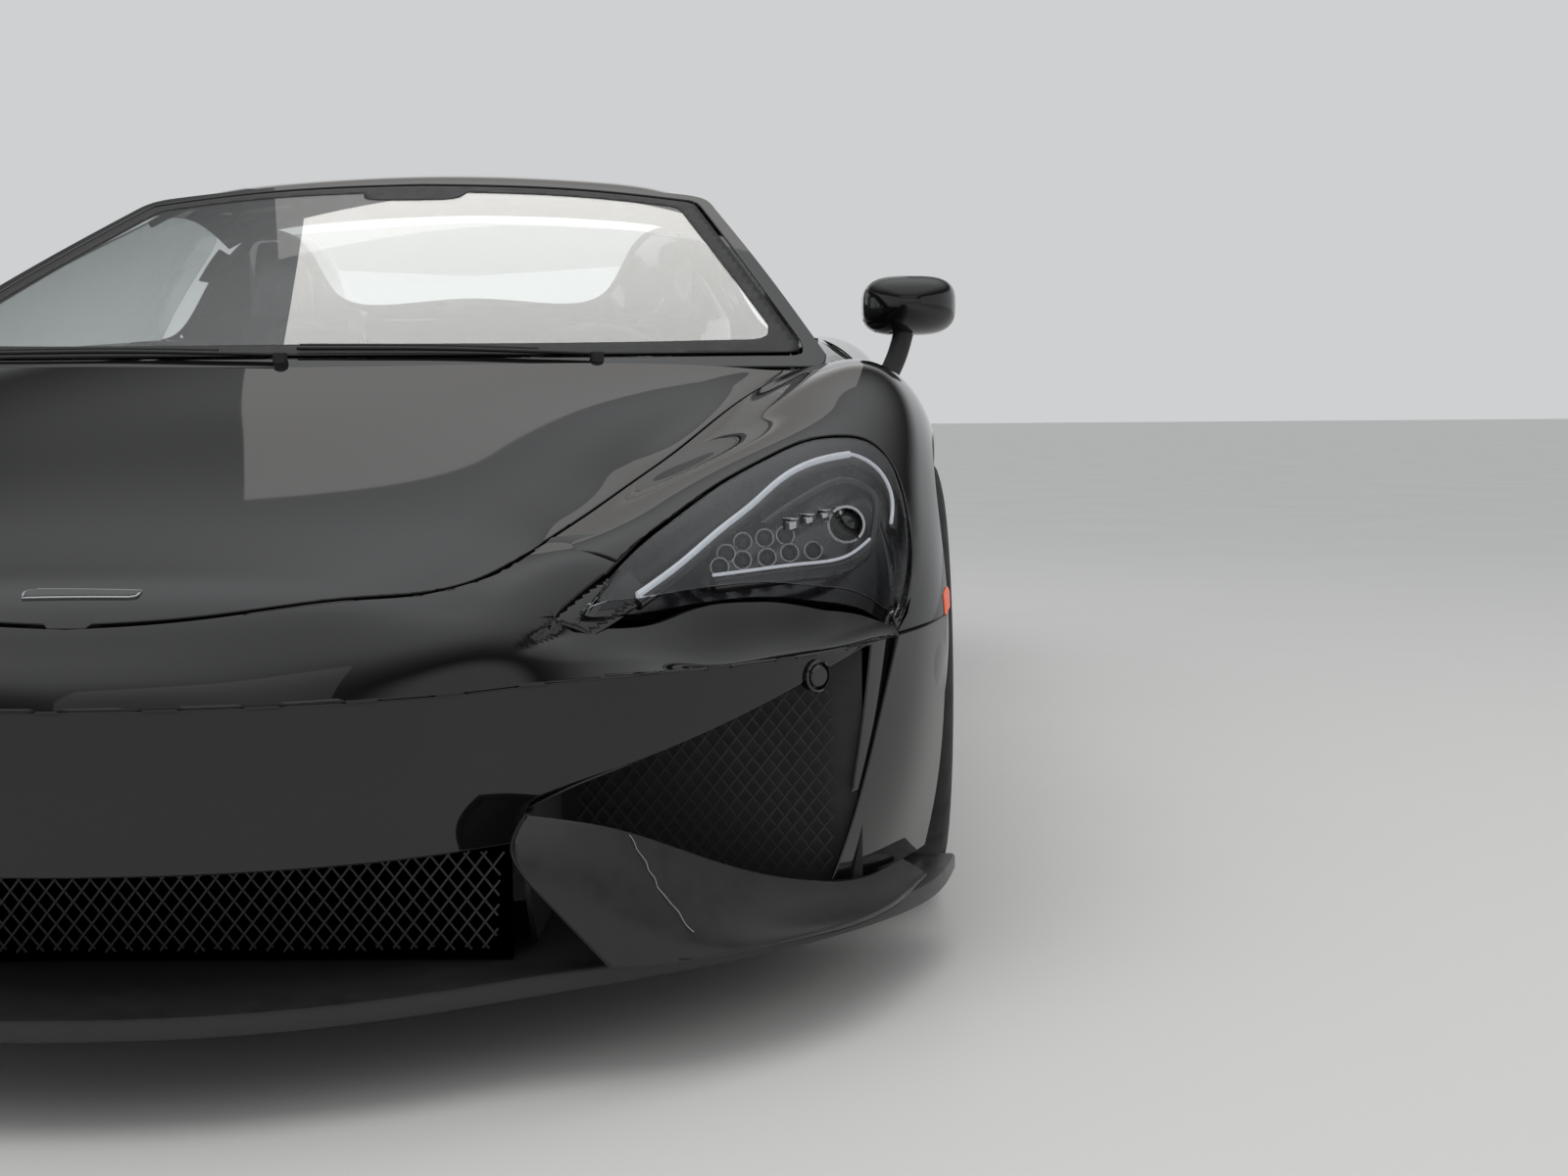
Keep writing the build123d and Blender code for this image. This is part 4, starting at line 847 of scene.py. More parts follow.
class BuildNose(CarOperator, bpy.types.Operator):
    """Builds the nose cover, the face below it, the corner panels and the intakes"""

    bl_idname = "supercar.nose"
    bl_label = "Nose and bumper"

    def execute(self, context):
        bm = bmesh.new()
        cuts = [(PLAN, grown(BONNET_EDGE, GAP), False), (PLAN, grown(LAMP_EDGE, 2.5), False)]
        sheet(bm, NOSE, (0, 10), (0.9, 4), (160, 52), (0, 0, 1), *cuts, (PLAN, WEDGE, False))
        self.under_lamp(bm)
        sheet(bm, FACE, (0, 10), (0, 4), (150, 28), (1, 0, 0), (FRONT_VIEW, CORNER_INTAKE, False))
        both_sides(bm)
        bmesh.ops.remove_doubles(bm, verts=bm.verts, dist=0.0009)
        piece(bm, "nose_cover", FINISHES["paint"], "chassis", "front_bumper", 4, 2.5, 32)
        bm = bmesh.new()
        sheet(bm, NOSE, (3, 8), (0.9, 4), (90, 50), (0, 0, 1), (PLAN, grown(WEDGE, 9), True))
        for v in bm.verts:
            v.co.z -= 0.014
        both_sides(bm)
        piece(bm, "lamp_wedges", FINISHES["gloss"], "chassis", (), 2, 0)
        bm = bmesh.new()
        sheet(bm, CORNER_PANEL, (0, 2), (0, 3), (40, 40), (1, 1, 0))
        both_sides(bm)
        piece(bm, "corner_panels", FINISHES["paint"], "chassis", (), 4, 3)
        bm = bmesh.new()
        sheet(bm, BLADE, (0, 6), (0, 3), (110, 30), (1, 0.3, 0))
        both_sides(bm)
        piece(bm, "corner_blades", FINISHES["satin"], "chassis", (), 9, 3.5)
        bm = bmesh.new()
        line = BLADE(np.linspace(1.87, 2.15, 14), np.linspace(0.1, 1.85, 14))
        line[:, 1] += [0, 1.5, 0.5, 2, 3, 1, 2.5, 0, 1.5, 3, 5, 3.5, 2, 3]
        tube(bm, line + [0.2, 0, 0.35], 0.55, 6)
        piece(bm, "blade_scratch", FINISHES["scratch"], "chassis", (), 0, 0, 60)
        bm = bmesh.new()
        slab(bm, SPLITTER_EDGE, PLAN, 98, 122, 5)
        piece(bm, "front_splitter_lip", FINISHES["satin"], "chassis", "front_splitter", 0, 0)
        bm = bmesh.new()
        spun(bm, [(9, 0.3), (9, 11), (7, 13), (0, 13), (0, 15), (6, 15), (8, 16.5), (6, 19), (-6, 19),
                  (-6, 0.3)], (0, 0, 0), "X", 32)
        turned = Matrix.Translation(Vector((1836, 758, 400)) * MM) @ Matrix.Rotation(0.72, 4, "Z")
        bmesh.ops.transform(bm, matrix=turned, verts=bm.verts)
        both_sides(bm)
        piece(bm, "parking_sensors", FINISHES["gloss"], "chassis", (), 0, 0)
        return {"FINISHED"}

    def under_lamp(self, bm):
        """Lowers the channel that runs from the wedge at the lamp's tip back under the lamp to the brow line."""
        p = np.array([v.co[:2] for v in bm.verts]) / MM
        brow = np.linalg.norm(nearest_on(BROW, p) - p, axis=1)
        top = np.linalg.norm(nearest_on(CHANNEL_TOP, p) - p, axis=1)
        ends = np.minimum(np.linalg.norm(p - BROW[0], axis=1) / 70,
                          np.linalg.norm(p - BROW[-1], axis=1) / 90)
        depth = CHANNEL_DEPTH * (brow / (brow + top + 0.001)) ** 1.3 * np.minimum(ends, 1) * inside(CHANNEL,
            p)
        for v, low in zip(bm.verts, depth):
            v.co += Vector((-0.35 * low, -0.2 * low, -low)) * MM


class BuildFenders(CarOperator, bpy.types.Operator):
    """Builds the front fenders round the lamps and wheel arches"""

    bl_idname = "supercar.fenders"
    bl_label = "Front fenders"

    def execute(self, context):
        bm = bmesh.new()
        nose_zone = chained([(1895, 560)], [(1684, 846)], [(1684, 1300)], [(2400, 1300)], [(2400, 380)],
                            [(1890, 380)])
        door = chained([(684, 240)], [(696, 300), (706, 560), (694, 800)], [(694, 1000)], [(500, 1000)],
                       [(500, 50)])
        cowl = chained([(400, 803)], [(880, 803)], [(925, 760)], [(1400, 0)], [(400, 0)])
        skirt = chained([(3000, 0)], [(3000, 216)], [(0, 216)], [(0, 0)])
        cuts = [(PLAN, cowl, False), (PLAN, grown(BONNET_EDGE, GAP), False),
                (PLAN, grown(LAMP_EDGE, 2.5), False),
                (SIDE_VIEW, FRONT_ARCH, False), (PLAN, nose_zone, False), (SIDE_VIEW, door, False),
                (SIDE_VIEW, skirt, False)]
        sheet(bm, FENDER, (680, 1912), (1.6, 7), (125, 125), (0, 1, 0.5), *cuts)
        both_sides(bm)
        piece(bm, "front_fender_skins", FINISHES["paint"], "chassis", "front_fenders", 4, 1.8)
        bm = bmesh.new()
        lens = chained([(1533, 466)], [(1500, 474), (1478, 466)], [(1492, 446)], [(1541, 440)])
        sheet(bm, FENDER, (1470, 1550), (4, 7), (40, 60), (0, 1, 0.3), (SIDE_VIEW, lens, True))
        for v in bm.verts:
            v.co.y += 0.0015
        both_sides(bm)
        # the side reflectors glow faintly: a painted glow that stands in for reflected light, not a lamp
        piece(bm, "side_reflectors", FINISHES["amber"], "chassis", (), 3, 0.6)
        return {"FINISHED"}


class BuildHeadlights(CarOperator, bpy.types.Operator):
    """Builds the lamp covers and what shows inside them"""

    bl_idname = "supercar.headlights"
    bl_label = "Headlights"

    def execute(self, context):
        bm = bmesh.new()
        sheet(bm, FRONT, (1480, 1980), (2.3, 5.0), (110, 80), (0, 0, 1), (PLAN, grown(LAMP_EDGE, -4), True))
        both_sides(bm)
        piece(bm, "lamp_covers", FINISHES["cover"], "chassis", "headlights", 3, 0.8)
        bm = bmesh.new()
        sheet(bm, FRONT, (1480, 1980), (2.3, 5.0), (80, 60), (0, 0, 1), (PLAN, grown(LAMP_EDGE, 1), True))
        rim = [v.co.copy() for v in bm.verts if v.is_boundary]
        for v in bm.verts:
            away = 0 if v.is_boundary else min((v.co - edge).length for edge in rim)
            v.co.z -= 0.009 + min(away * 1.1, 0.05)
            v.co.x -= min(away * 0.5, 0.02)
        both_sides(bm)
        piece(bm, "lamp_bowls", FINISHES["smoke"], "chassis", (), 0, 0)
        self.insides()
        return {"FINISHED"}

    def insides(self):
        """The light guides, the cells, the projector and its module."""
        def sunk(points, depth):
            return [(x - depth * 0.4, y, z - depth) for x, y, z in points]

        bm = bmesh.new()
        tube(bm, sunk(LIGHT_GUIDE[:7], 6), 2.9, 10, squash=1.5)
        tube(bm, sunk(LIGHT_GUIDE, 6), 2.4, 8)
        tube(bm, sunk(LIGHT_BAR, 8), 2.0, 8)
        both_sides(bm)
        piece(bm, "lamp_light_guides", FINISHES["led"], "chassis", (), 0, 0, 60)
        bm = bmesh.new()
        tube(bm, sunk(LIGHT_GUIDE, 17), 7, 12)
        tube(bm, sunk(INNER_RING, 18), 6, 12)
        tube(bm, sunk(LIGHT_BAR, 21), 6, 12, squash=1.6)
        both_sides(bm)
        piece(bm, "lamp_frames", FINISHES["smoke"], "chassis", (), 0, 0, 60)
        bm = bmesh.new()
        for x, y, z in sunk(LAMP_CELLS, 22):
            spun(bm, [(10, 11.5), (12, 11.5), (12, 10), (2, 6), (0, 6), (0, 11.5)], (x, y, z), "X", 28)
        spun(bm, [(16, 24), (19, 24), (19, 21), (4, 17), (0, 17), (0, 24)], (1640, 799, 566), "X", 40)
        both_sides(bm)
        piece(bm, "lamp_reflectors", FINISHES["alloy"], "chassis", (), 0, 0, 50)
        bm = bmesh.new()
        for x, y, z in sunk(LAMP_CELLS, 22):
            spun(bm, [(3, 8), (8, 6), (11, 0.3)], (x, y, z), "X", 24)
        spun(bm, [(5, 18), (14, 14), (19, 8), (21, 0.3)], (1640, 799, 566), "X", 36)
        both_sides(bm)
        piece(bm, "lamp_lenses", FINISHES["screen"], "chassis", (), 0, 0, 60)
        bm = bmesh.new()
        for k, (x, y, z) in enumerate(((1712, 728, 560), (1690, 748, 564), (1668, 768, 568),
                                       (1646, 790, 570))):
            block(bm, (12, 16, 13), (x, y, z + 8), Matrix.Rotation(-0.75, 4, "Z"), 1.5)
            block(bm, (14, 20, 2), (x, y, z + 17), Matrix.Rotation(-0.75, 4, "Z"), 0.6)
        both_sides(bm)
        piece(bm, "lamp_modules", FINISHES["alloy"], "chassis", (), 0, 0, 50)


class BuildScreen(CarOperator, bpy.types.Operator):
    """Builds the windscreen, its dark border and its frame"""

    bl_idname = "supercar.screen"
    bl_label = "Windscreen"

    def execute(self, context):
        bm = bmesh.new()
        sheet(bm, Screen(), (-760, 760), (790, 1160), (120, 70), (1, 0, 1), (FRONT_VIEW, GLASS_EDGE, True))
        piece(bm, "windscreen_glass", FINISHES["glass"], "chassis", "windscreen", 4.5, 0.8)
        bm = bmesh.new()
        sheet(bm, Screen(1.6), (-760, 760), (790, 1160), (150, 90), (1, 0, 1),
              (FRONT_VIEW, GLASS_EDGE, True),
              (FRONT_VIEW, FRIT_HOLE, False))
        piece(bm, "screen_border", FINISHES["frit"], "chassis", (), 1, 0)
        bm = bmesh.new()
        sheet(bm, Screen(), (-800, 800), (770, 1175), (180, 100), (1, 0, 1), (FRONT_VIEW, FRAME_EDGE, True),
              (FRONT_VIEW, FRAME_HOLE, False))
        piece(bm, "windscreen_surround", FINISHES["paint"], "chassis", "windscreen_frame", 24, 3)
        return {"FINISHED"}


class BuildRoof(CarOperator, bpy.types.Operator):
    """Builds the roof panel and the rear window"""

    bl_idname = "supercar.roof"
    bl_label = "Roof"

    def execute(self, context):
        bm = bmesh.new()
        sheet(bm, ROOF, (0, 6), (0, 6), (90, 60), (0, 0, 1))
        piece(bm, "roof_skin", FINISHES["paint"], "chassis", "roof_panel", 14, 4)
        bm = bmesh.new()
        pane = mirrored_front(run((0, 917), (480, 917)), run((480, 917), (498, 922), (500, 940)),
                              run((500, 940), (500, 1070)),
                              run((500, 1070), (490, 1088), (440, 1104), (0, 1132)))
        slab(bm, pane, FRONT_VIEW, -452, -447.5, 0.8)
        piece(bm, "rear_window_glass", FINISHES["glass"], "chassis", "rear_window", 0, 0)
        return {"FINISHED"}


def on_right(bm):
    """The same mesh turned over to the car's right."""
    bmesh.ops.scale(bm, vec=(1, -1, 1), verts=bm.verts)
    bmesh.ops.reverse_faces(bm, faces=bm.faces)
    return bm


def window_surface(a, b):
    """The side window's surface: a is x, and b runs from the door up to the roof."""
    a, b = np.atleast_1d(a).astype(float), np.atleast_1d(b).astype(float)
    foot_y = BELT.y(a) - 30
    points = np.stack([
        np.stack([foot_y, np.full_like(a, 770)], 1),
        np.stack([(foot_y + 505) / 2 + 14, np.full_like(a, 984)], 1),
        np.stack([np.full_like(a, 505), np.full_like(a, 1170)], 1),
    ], 1)
    p = across(points, b)
    return np.stack([a, p[:, 0], p[:, 1]], 1)


class BuildDoors(CarOperator, bpy.types.Operator):
    """Builds each door's skin, its window and its mirror"""

    bl_idname = "supercar.doors"
    bl_label = "Doors"

    def execute(self, context):
        for side in ("left", "right"):
            turn = on_right if side == "right" else (lambda bm: bm)
            bm = bmesh.new()
            sheet(bm, DOOR, (-448, 704), (0, 4), (110, 80), (0, 1, 0), (SIDE_VIEW, DOOR_EDGE, True))
            piece(turn(bm), f"door_skin_{side}", FINISHES["paint"], f"door_{side}", f"door_{side}", 40, 2)
            bm = bmesh.new()
            sheet(bm, window_surface, (-450, 700), (0, 2), (110, 70), (0, 1, 0),
                  (SIDE_VIEW, WINDOW_EDGE, True))
            piece(turn(bm), f"door_glass_{side}", FINISHES["glass"], f"door_{side}", f"window_{side}", 4,
                  0.8)
            bm = bmesh.new()
            part = bmesh.new()
            rings = []
            for x, w, h, y, z in MIRROR_HEAD:
                t = np.linspace(0, math.tau, 48, endpoint=False)
                ring = bmesh.ops.create_circle(part, segments=48, radius=1)["verts"]
                for v, a in zip(ring, t):
                    c, s = math.cos(a), math.sin(a)
                    v.co = Vector((x, y + w * math.copysign(abs(c) ** 0.62, c),
                                   z + h * math.copysign(abs(s) ** 0.62, s))) * MM
                rings.append(list({e for v in ring for e in v.link_edges}))
            for first, second in zip(rings, rings[1:]):
                bmesh.ops.bridge_loops(part, edges=first + second)
            bmesh.ops.holes_fill(part, edges=[e for e in part.edges if e.is_boundary], sides=60)
            bmesh.ops.recalc_face_normals(part, faces=part.faces)
            join(bm, part)
            piece(turn(bm), f"mirror_head_{side}", FINISHES["paint"], f"door_{side}", f"mirror_{side}", 0,
                  3, 50, 0)
            bm = bmesh.new()
            tube(bm, [(532, 886, 722), (530, 898, 760), (524, 916, 800), (516, 930, 846)], 12, 16,
                 squash=1.5)
            piece(turn(bm), f"mirror_stalk_{side}", FINISHES["satin"], f"door_{side}", (), 0, 0)
        return {"FINISHED"}


class BuildTail(CarOperator, bpy.types.Operator):
    """Builds the rear fenders, the deck and the rear bumper"""

    bl_idname = "supercar.tail"
    bl_label = "Tail"

    def execute(self, context):
        bm = bmesh.new()
        sheet(bm, REAR, (-1510, -455), (-5.6, 5.6), (86, 126), (0, 0, 1), (PLAN, TONNEAU_EDGE, True))
        piece(bm, "deck_cover", FINISHES["paint"], "tonneau", "tonneau_cover", 14, 1.8)
        bm = bmesh.new()
        rear_end = chained([(-2196, 225)], [(-2120, 560)], [(-2120, 1300)], [(-2400, 1300)], [(-2400, 0)])
        intake = chained([(-545, 560), (-575, 690)], [(-590, 715), (-650, 700)], [(-672, 640), (-660, 430)],
                         [(-630, 380), (-480, 350)])
        deck = chained([(-1506, 628)], [(-2400, 628)], [(-2400, -10)], [(-1506, -10)])
        skirt = chained([(-3000, 0)], [(-3000, 216)], [(0, 216)], [(0, 0)])
        cuts = [(PLAN, grown(TONNEAU_EDGE, GAP), False), (PLAN, deck, False), (SIDE_VIEW, REAR_ARCH, False),
                (SIDE_VIEW, rear_end, False), (SIDE_VIEW, grown(DOOR_EDGE, GAP), False), (SIDE_VIEW, intake,
                    False),
                (SIDE_VIEW, skirt, False)]
        sheet(bm, REAR, (-2205, -380), (3.6, 10), (175, 120), (0, 1, 0.5), *cuts)
        both_sides(bm)
        piece(bm, "rear_fender_skins", FINISHES["paint"], "chassis", "rear_fenders", 4, 1.8)
        bm = bmesh.new()
        sides = chained([(-2198, -10)], [(-2198, 228)], [(-2124, 560)], [(-2124, 1300)], [(-1000, 1300)],
                        [(-1000, -10)])
        low = chained([(-3000, 0)], [(-3000, 300)], [(0, 300)], [(0, 0)])
        sheet(bm, REAR, (-2235, -2110), (4, 10), (16, 96), (0, 1, 0.5), (SIDE_VIEW, sides, False),
              (SIDE_VIEW, low, False))
        sheet(bm, REAR, (-2235, -1512), (0, 5.1), (74, 60), (0, 0, 1))
        both_sides(bm)
        bmesh.ops.remove_doubles(bm, verts=bm.verts, dist=0.0009)
        piece(bm, "rear_cover", FINISHES["paint"], "chassis", "rear_bumper", 4, 2.5)
        return {"FINISHED"}


class BuildStage(CarOperator, bpy.types.Operator):
    """Sets the pale floor, the soft light and the camera"""

    bl_idname = "supercar.stage"
    bl_label = "Stage"

    def execute(self, context):
        stage = context.scene.supercar_stage
        mesh = bpy.data.meshes.new("floor")
        bm = bmesh.new()
        bmesh.ops.create_grid(bm, x_segments=4, y_segments=4, size=90)
        bm.to_mesh(mesh)
        bm.free()
        floor = bpy.data.objects.new("floor", mesh)
        context.scene.collection.objects.link(floor)
        mesh.materials.append(finish("pale_floor", tuple(stage.floor_colour), rough=(0.5, 0.6), scale=1.5,
                                     second=tuple(c * 0.94 for c in stage.floor_colour)))
        self.world(context, stage)
        for name, place, size, power, seen in (
            ("softbox_over", (1.6, 0.2, 4.4), (4.0, 5.0), stage.lamp_power, False),
            ("softbox_left", (2.0, 5.5, 2.8), (4.0, 2.2), stage.lamp_power * 0.4, False),
            ("softbox_right", (0.0, -5.5, 2.8), (4.0, 2.2), stage.lamp_power * 0.4, False),
            ("softbox_screen", (-2.4, 0.1, 3.75), (2.7, 1.5), stage.lamp_power * 0.2, True),
            ("softbox_bonnet", (-4.6, -0.3, 3.3), (3.0, 2.2), stage.lamp_power * 0.07, True),
            ("softbox_front", (6.5, 0.6, 3.4), (4.5, 2.0), stage.lamp_power * 0.12, True),
        ):
            light = bpy.data.lights.new(name, "AREA")
            light.shape, light.size, light.size_y, light.energy = "RECTANGLE", size[0], size[1], power
            light.color = (1.0, 0.965, 0.93)
            lamp_object = bpy.data.objects.new(name, light)
            lamp_object.location = place
            lamp_object.visible_glossy = lamp_object.visible_transmission = seen
            aim = Vector((0.6, 0, 0.8)) - Vector(place)
            lamp_object.rotation_euler = aim.to_track_quat("-Z", "Y").to_euler()
            context.scene.collection.objects.link(lamp_object)
            if name == "softbox_screen":
                receivers = bpy.data.collections.new("screen_light_receivers")
                receivers.objects.link(bpy.data.objects["windscreen_glass"])
                lamp_object.light_linking.receiver_collection = receivers
        camera = bpy.data.cameras.new("camera")
        camera.lens, camera.sensor_width = 46.71, 36.0
        holder = bpy.data.objects.new("camera", camera)
        yaw, pitch, roll = 0.0079, 0.0876, -0.0076
        ahead = Vector((-math.cos(yaw) * math.cos(pitch), -math.sin(yaw) * math.cos(pitch),
                        -math.sin(pitch)))
        right = ahead.cross(Vector((0, 0, 1))).normalized()
        up = right.cross(ahead)
        right, up = right * math.cos(roll) + up * math.sin(roll), up * math.cos(roll) - right * math.sin(roll)
        holder.matrix_world = Matrix.Translation((4.195, 0.741, 0.710)) @ Matrix((right, up,
            -ahead)).transposed().to_4x4()
        context.scene.collection.objects.link(holder)
        context.scene.camera = holder
        context.scene.view_settings.view_transform = "Standard"
        return {"FINISHED"}

    def world(self, context, stage):
        """A pale backdrop that darkens overhead where it is seen or mirrored, and an even fill elsewhere."""
        world = bpy.data.worlds.new("studio")
        context.scene.world = world
        world.use_nodes = True
        n, link = world.node_tree.nodes, world.node_tree.links.new
        back = n["Background"]
        rays, where, parts = n.new("ShaderNodeLightPath"), n.new("ShaderNodeTexCoord"), n.new("ShaderNodeSeparateXYZ")
        link(where.outputs["Generated"], parts.inputs[0])
        fade = n.new("ShaderNodeMapRange")
        fade.interpolation_type = "SMOOTHSTEP"
        for socket, value in (("From Min", 0.2), ("From Max", 0.36), ("To Min", 0.0), ("To Max", 1.0)):
            fade.inputs[socket].default_value = value
        link(parts.outputs["Z"], fade.inputs["Value"])
        colour = n.new("ShaderNodeMix")
        colour.data_type = "RGBA"
        colour.inputs["A"].default_value = (*stage.backdrop_colour, 1)
        link(fade.outputs["Result"], colour.inputs["Factor"])
        glow, ceiling = n.new("ShaderNodeMapRange"), n.new("ShaderNodeMix")
        glow.interpolation_type, ceiling.data_type = "SMOOTHSTEP", "RGBA"
        glow.inputs["From Min"].default_value, glow.inputs["From Max"].default_value = 0.3, 0.95
        link(parts.outputs["Z"], glow.inputs["Value"])
        link(glow.outputs["Result"], ceiling.inputs["Factor"])
        ceiling.inputs["A"].default_value = (*[c * stage.ceiling_share for c in stage.backdrop_colour], 1)
        ceiling.inputs["B"].default_value = (*[c * stage.ceiling_glow for c in stage.backdrop_colour], 1)
        link(ceiling.outputs["Result"], colour.inputs["B"])
        seen, mirrored = n.new("ShaderNodeMath"), n.new("ShaderNodeMath")
        seen.operation = mirrored.operation = "MAXIMUM"
        link(rays.outputs["Is Glossy Ray"], mirrored.inputs[0])
        link(rays.outputs["Is Transmission Ray"], mirrored.inputs[1])
        link(rays.outputs["Is Camera Ray"], seen.inputs[0])
        link(mirrored.outputs[0], seen.inputs[1])
        chosen = n.new("ShaderNodeMix")
        chosen.data_type = "RGBA"
        chosen.inputs["A"].default_value = (*[c * stage.fill_light for c in stage.backdrop_colour], 1)
        link(seen.outputs[0], chosen.inputs["Factor"])
        link(colour.outputs["Result"], chosen.inputs["B"])
        link(chosen.outputs["Result"], back.inputs["Color"])


# ------------------------------------------------------------------ wheels
WHEELS = {
    "front_left": (1170, 836.5, 320, 225, 241.3, 1, "knuckle_left"),
    "front_right": (1170, -836.5, 320, 225, 241.3, -1, "knuckle_right"),
    "rear_left": (-1500, 809, 354, 285, 254, 1, "chassis"),
    "rear_right": (-1500, -809, 354, 285, 254, -1, "chassis"),
}


def bar(bm, stations, sides=14, square=0.5):
    """A tapering bar through stations of x, y, z, width and height; its width lies across the y axis."""
    part = bmesh.new()
    p = np.array(stations, float)
    ends = np.gradient(p[:, :3], axis=0)
    loops = []
    for (x, y, z, w, h), t in zip(p, ends):
        t = Vector(t).normalized()
        side = t.cross(Vector((0, 1, 0)))
        side = side.normalized() if side.length > 0.1 else Vector((1, 0, 0))
        up = side.cross(t).normalized()
        ring = bmesh.ops.create_circle(part, segments=sides, radius=1)["verts"]
        for k, v in enumerate(ring):
            c, s = math.cos(math.tau * k / sides), math.sin(math.tau * k / sides)
            c, s = math.copysign(abs(c) ** square, c) * w / 2, math.copysign(abs(s) ** square, s) * h / 2
            v.co = (Vector((x, y, z)) + side * c + up * s) * MM
        loops.append(list({e for v in ring for e in v.link_edges}))
    for first, second in zip(loops, loops[1:]):
        bmesh.ops.bridge_loops(part, edges=first + second)
    bmesh.ops.holes_fill(part, edges=[e for e in part.edges if e.is_boundary], sides=sides)
    bmesh.ops.recalc_face_normals(part, faces=part.faces)
    join(bm, part)


class BuildWheels(CarOperator, bpy.types.Operator):
    """Builds the tyres with their tread, the spoked rims, the discs and the calipers"""

    bl_idname = "supercar.wheels"
    bl_label = "Wheels and brakes"

    def execute(self, context):
        for corner, (x, y, r, width, rim, side, carrier) in WHEELS.items():
            wheel = f"wheel_{corner}"
            self.tyre(corner, x, y, r, width, rim, wheel)
            self.rim(corner, x, y, r, width, rim, side, wheel)
            self.brake(corner, x, y, r, side, wheel, carrier)
        return {"FINISHED"}

    def tyre(self, corner, x, y, r, width, rim, wheel):
        half = width / 2
        grooves = [g * half for g in ((-0.5, -0.17, 0.17, 0.5) if width < 250 else (-0.56, -0.2, 0.2,
            0.56))]
        crown = [(half - 24, r - 3.4)]
        for a in sorted(grooves, reverse=True):
            top = r - 3.2 * (a / half) ** 2
            crown += [(a + 5.5, top), (a + 4, top - 6.5), (a - 4, top - 6.5), (a - 5.5, top)]
            crown += [(a - 12, r - 3.2 * ((a - 12) / half) ** 2)]
        crown += [(24 - half, r - 3.4)]
        wall = [(half - 12, rim + 1), (half - 7, rim + 9), (half - 2, rim + 22),
                (half - 0.5, (rim + r) / 2),
                (half - 2.5, r - 30), (half - 6, r - 18), (half - 13, r - 8)]
        profile = wall + crown + [(-a, b) for a, b in wall[::-1]]
        bm = bmesh.new()
        spun(bm, profile, axis="Y", steps=180)
        for v in bm.verts:
            around = math.degrees(math.atan2(v.co.z, v.co.x)) % 360
            out, high = abs(v.co.y) / (half * MM), math.hypot(v.co.x, v.co.z) / MM
            step = int(round(around / 2)) % 5
            if out > 0.6 and high > r - 9 and step == 0:
                v.co.x, v.co.z = v.co.x * (1 - 4.5 / high), v.co.z * (1 - 4.5 / high)
            elif 0.2 < out <= 0.5 and high > r - 4 and step == 2:
                v.co.x, v.co.z = v.co.x * (1 - 3 / high), v.co.z * (1 - 3 / high)
        bmesh.ops.translate(bm, vec=Vector((x, y, r)) * MM, verts=bm.verts)
        piece(bm, f"tyre_tread_{corner}", FINISHES["rubber"], wheel, f"tyre_{corner}", 0, 0, 50)

    def rim(self, corner, x, y, r, width, rim, side, wheel):
        half = width / 2 - 1
        bm = bmesh.new()
        barrel = [(half, rim + 11), (half - 2, rim + 13), (half - 7, rim + 12), (half - 9, rim),
                  (half - 30, rim - 1),
                  (half - 46, rim - 22), (16 - half, rim - 20), (9 - half, rim), (7 - half, rim + 12),
                  (1 - half, rim + 12), (0.5 - half, rim - 7), (14 - half, rim - 27), (half - 50, rim - 29),
                  (half - 34, rim - 12), (half - 12, rim - 9), (half - 1, rim - 5)]
        spun(bm, [(a * side, b) for a, b in barrel], axis="Y", steps=96)
        hub = [(half - 20, 34), (half - 18, 44), (half - 22, 66), (half - 34, 78), (half - 60, 80),
               (half - 60, 36)]
        spun(bm, [(a * side, b) for a, b in hub], axis="Y", steps=48)
        for k in range(5):
            for lean in (-1, 1):
                turn = math.tau * k / 5
                stations = []
                for dist, ahead, w, h, fan in ((58, -26, 30, 30, 3), (100, -28, 24, 28, 7),
                                               (150, -26, 19, 25, 15),
                                               (195, -22, 18, 24, 26), (rim - 7, -14, 22, 22, 36)):
                    a = turn + lean * math.atan2(fan + 4, dist)
                    stations.append((dist * math.sin(a), (half + ahead) * side, dist * math.cos(a), w, h))
                bar(bm, stations)
        for k in range(5):
            a = math.tau * (k + 0.5) / 5
            spun(bm, [((half - 30) * side, 0.5), ((half - 14) * side, 0.5), ((half - 14) * side, 7),
                      ((half - 17) * side, 9),
                      ((half - 30) * side, 9)], (56 * math.sin(a), 0, 56 * math.cos(a)), "Y", 12)
        cap = [(half - 16, 0.3), (half - 15.5, 20), (half - 17, 29), (half - 22, 32), (half - 30, 32),
               (half - 30, 0.3)]
        spun(bm, [(a * side, b) for a, b in cap], axis="Y", steps=40)
        bmesh.ops.translate(bm, vec=Vector((x, y, r)) * MM, verts=bm.verts)
        piece(bm, f"spoked_rim_{corner}", FINISHES["rim"], wheel, f"rim_{corner}", 0, 0, 35)

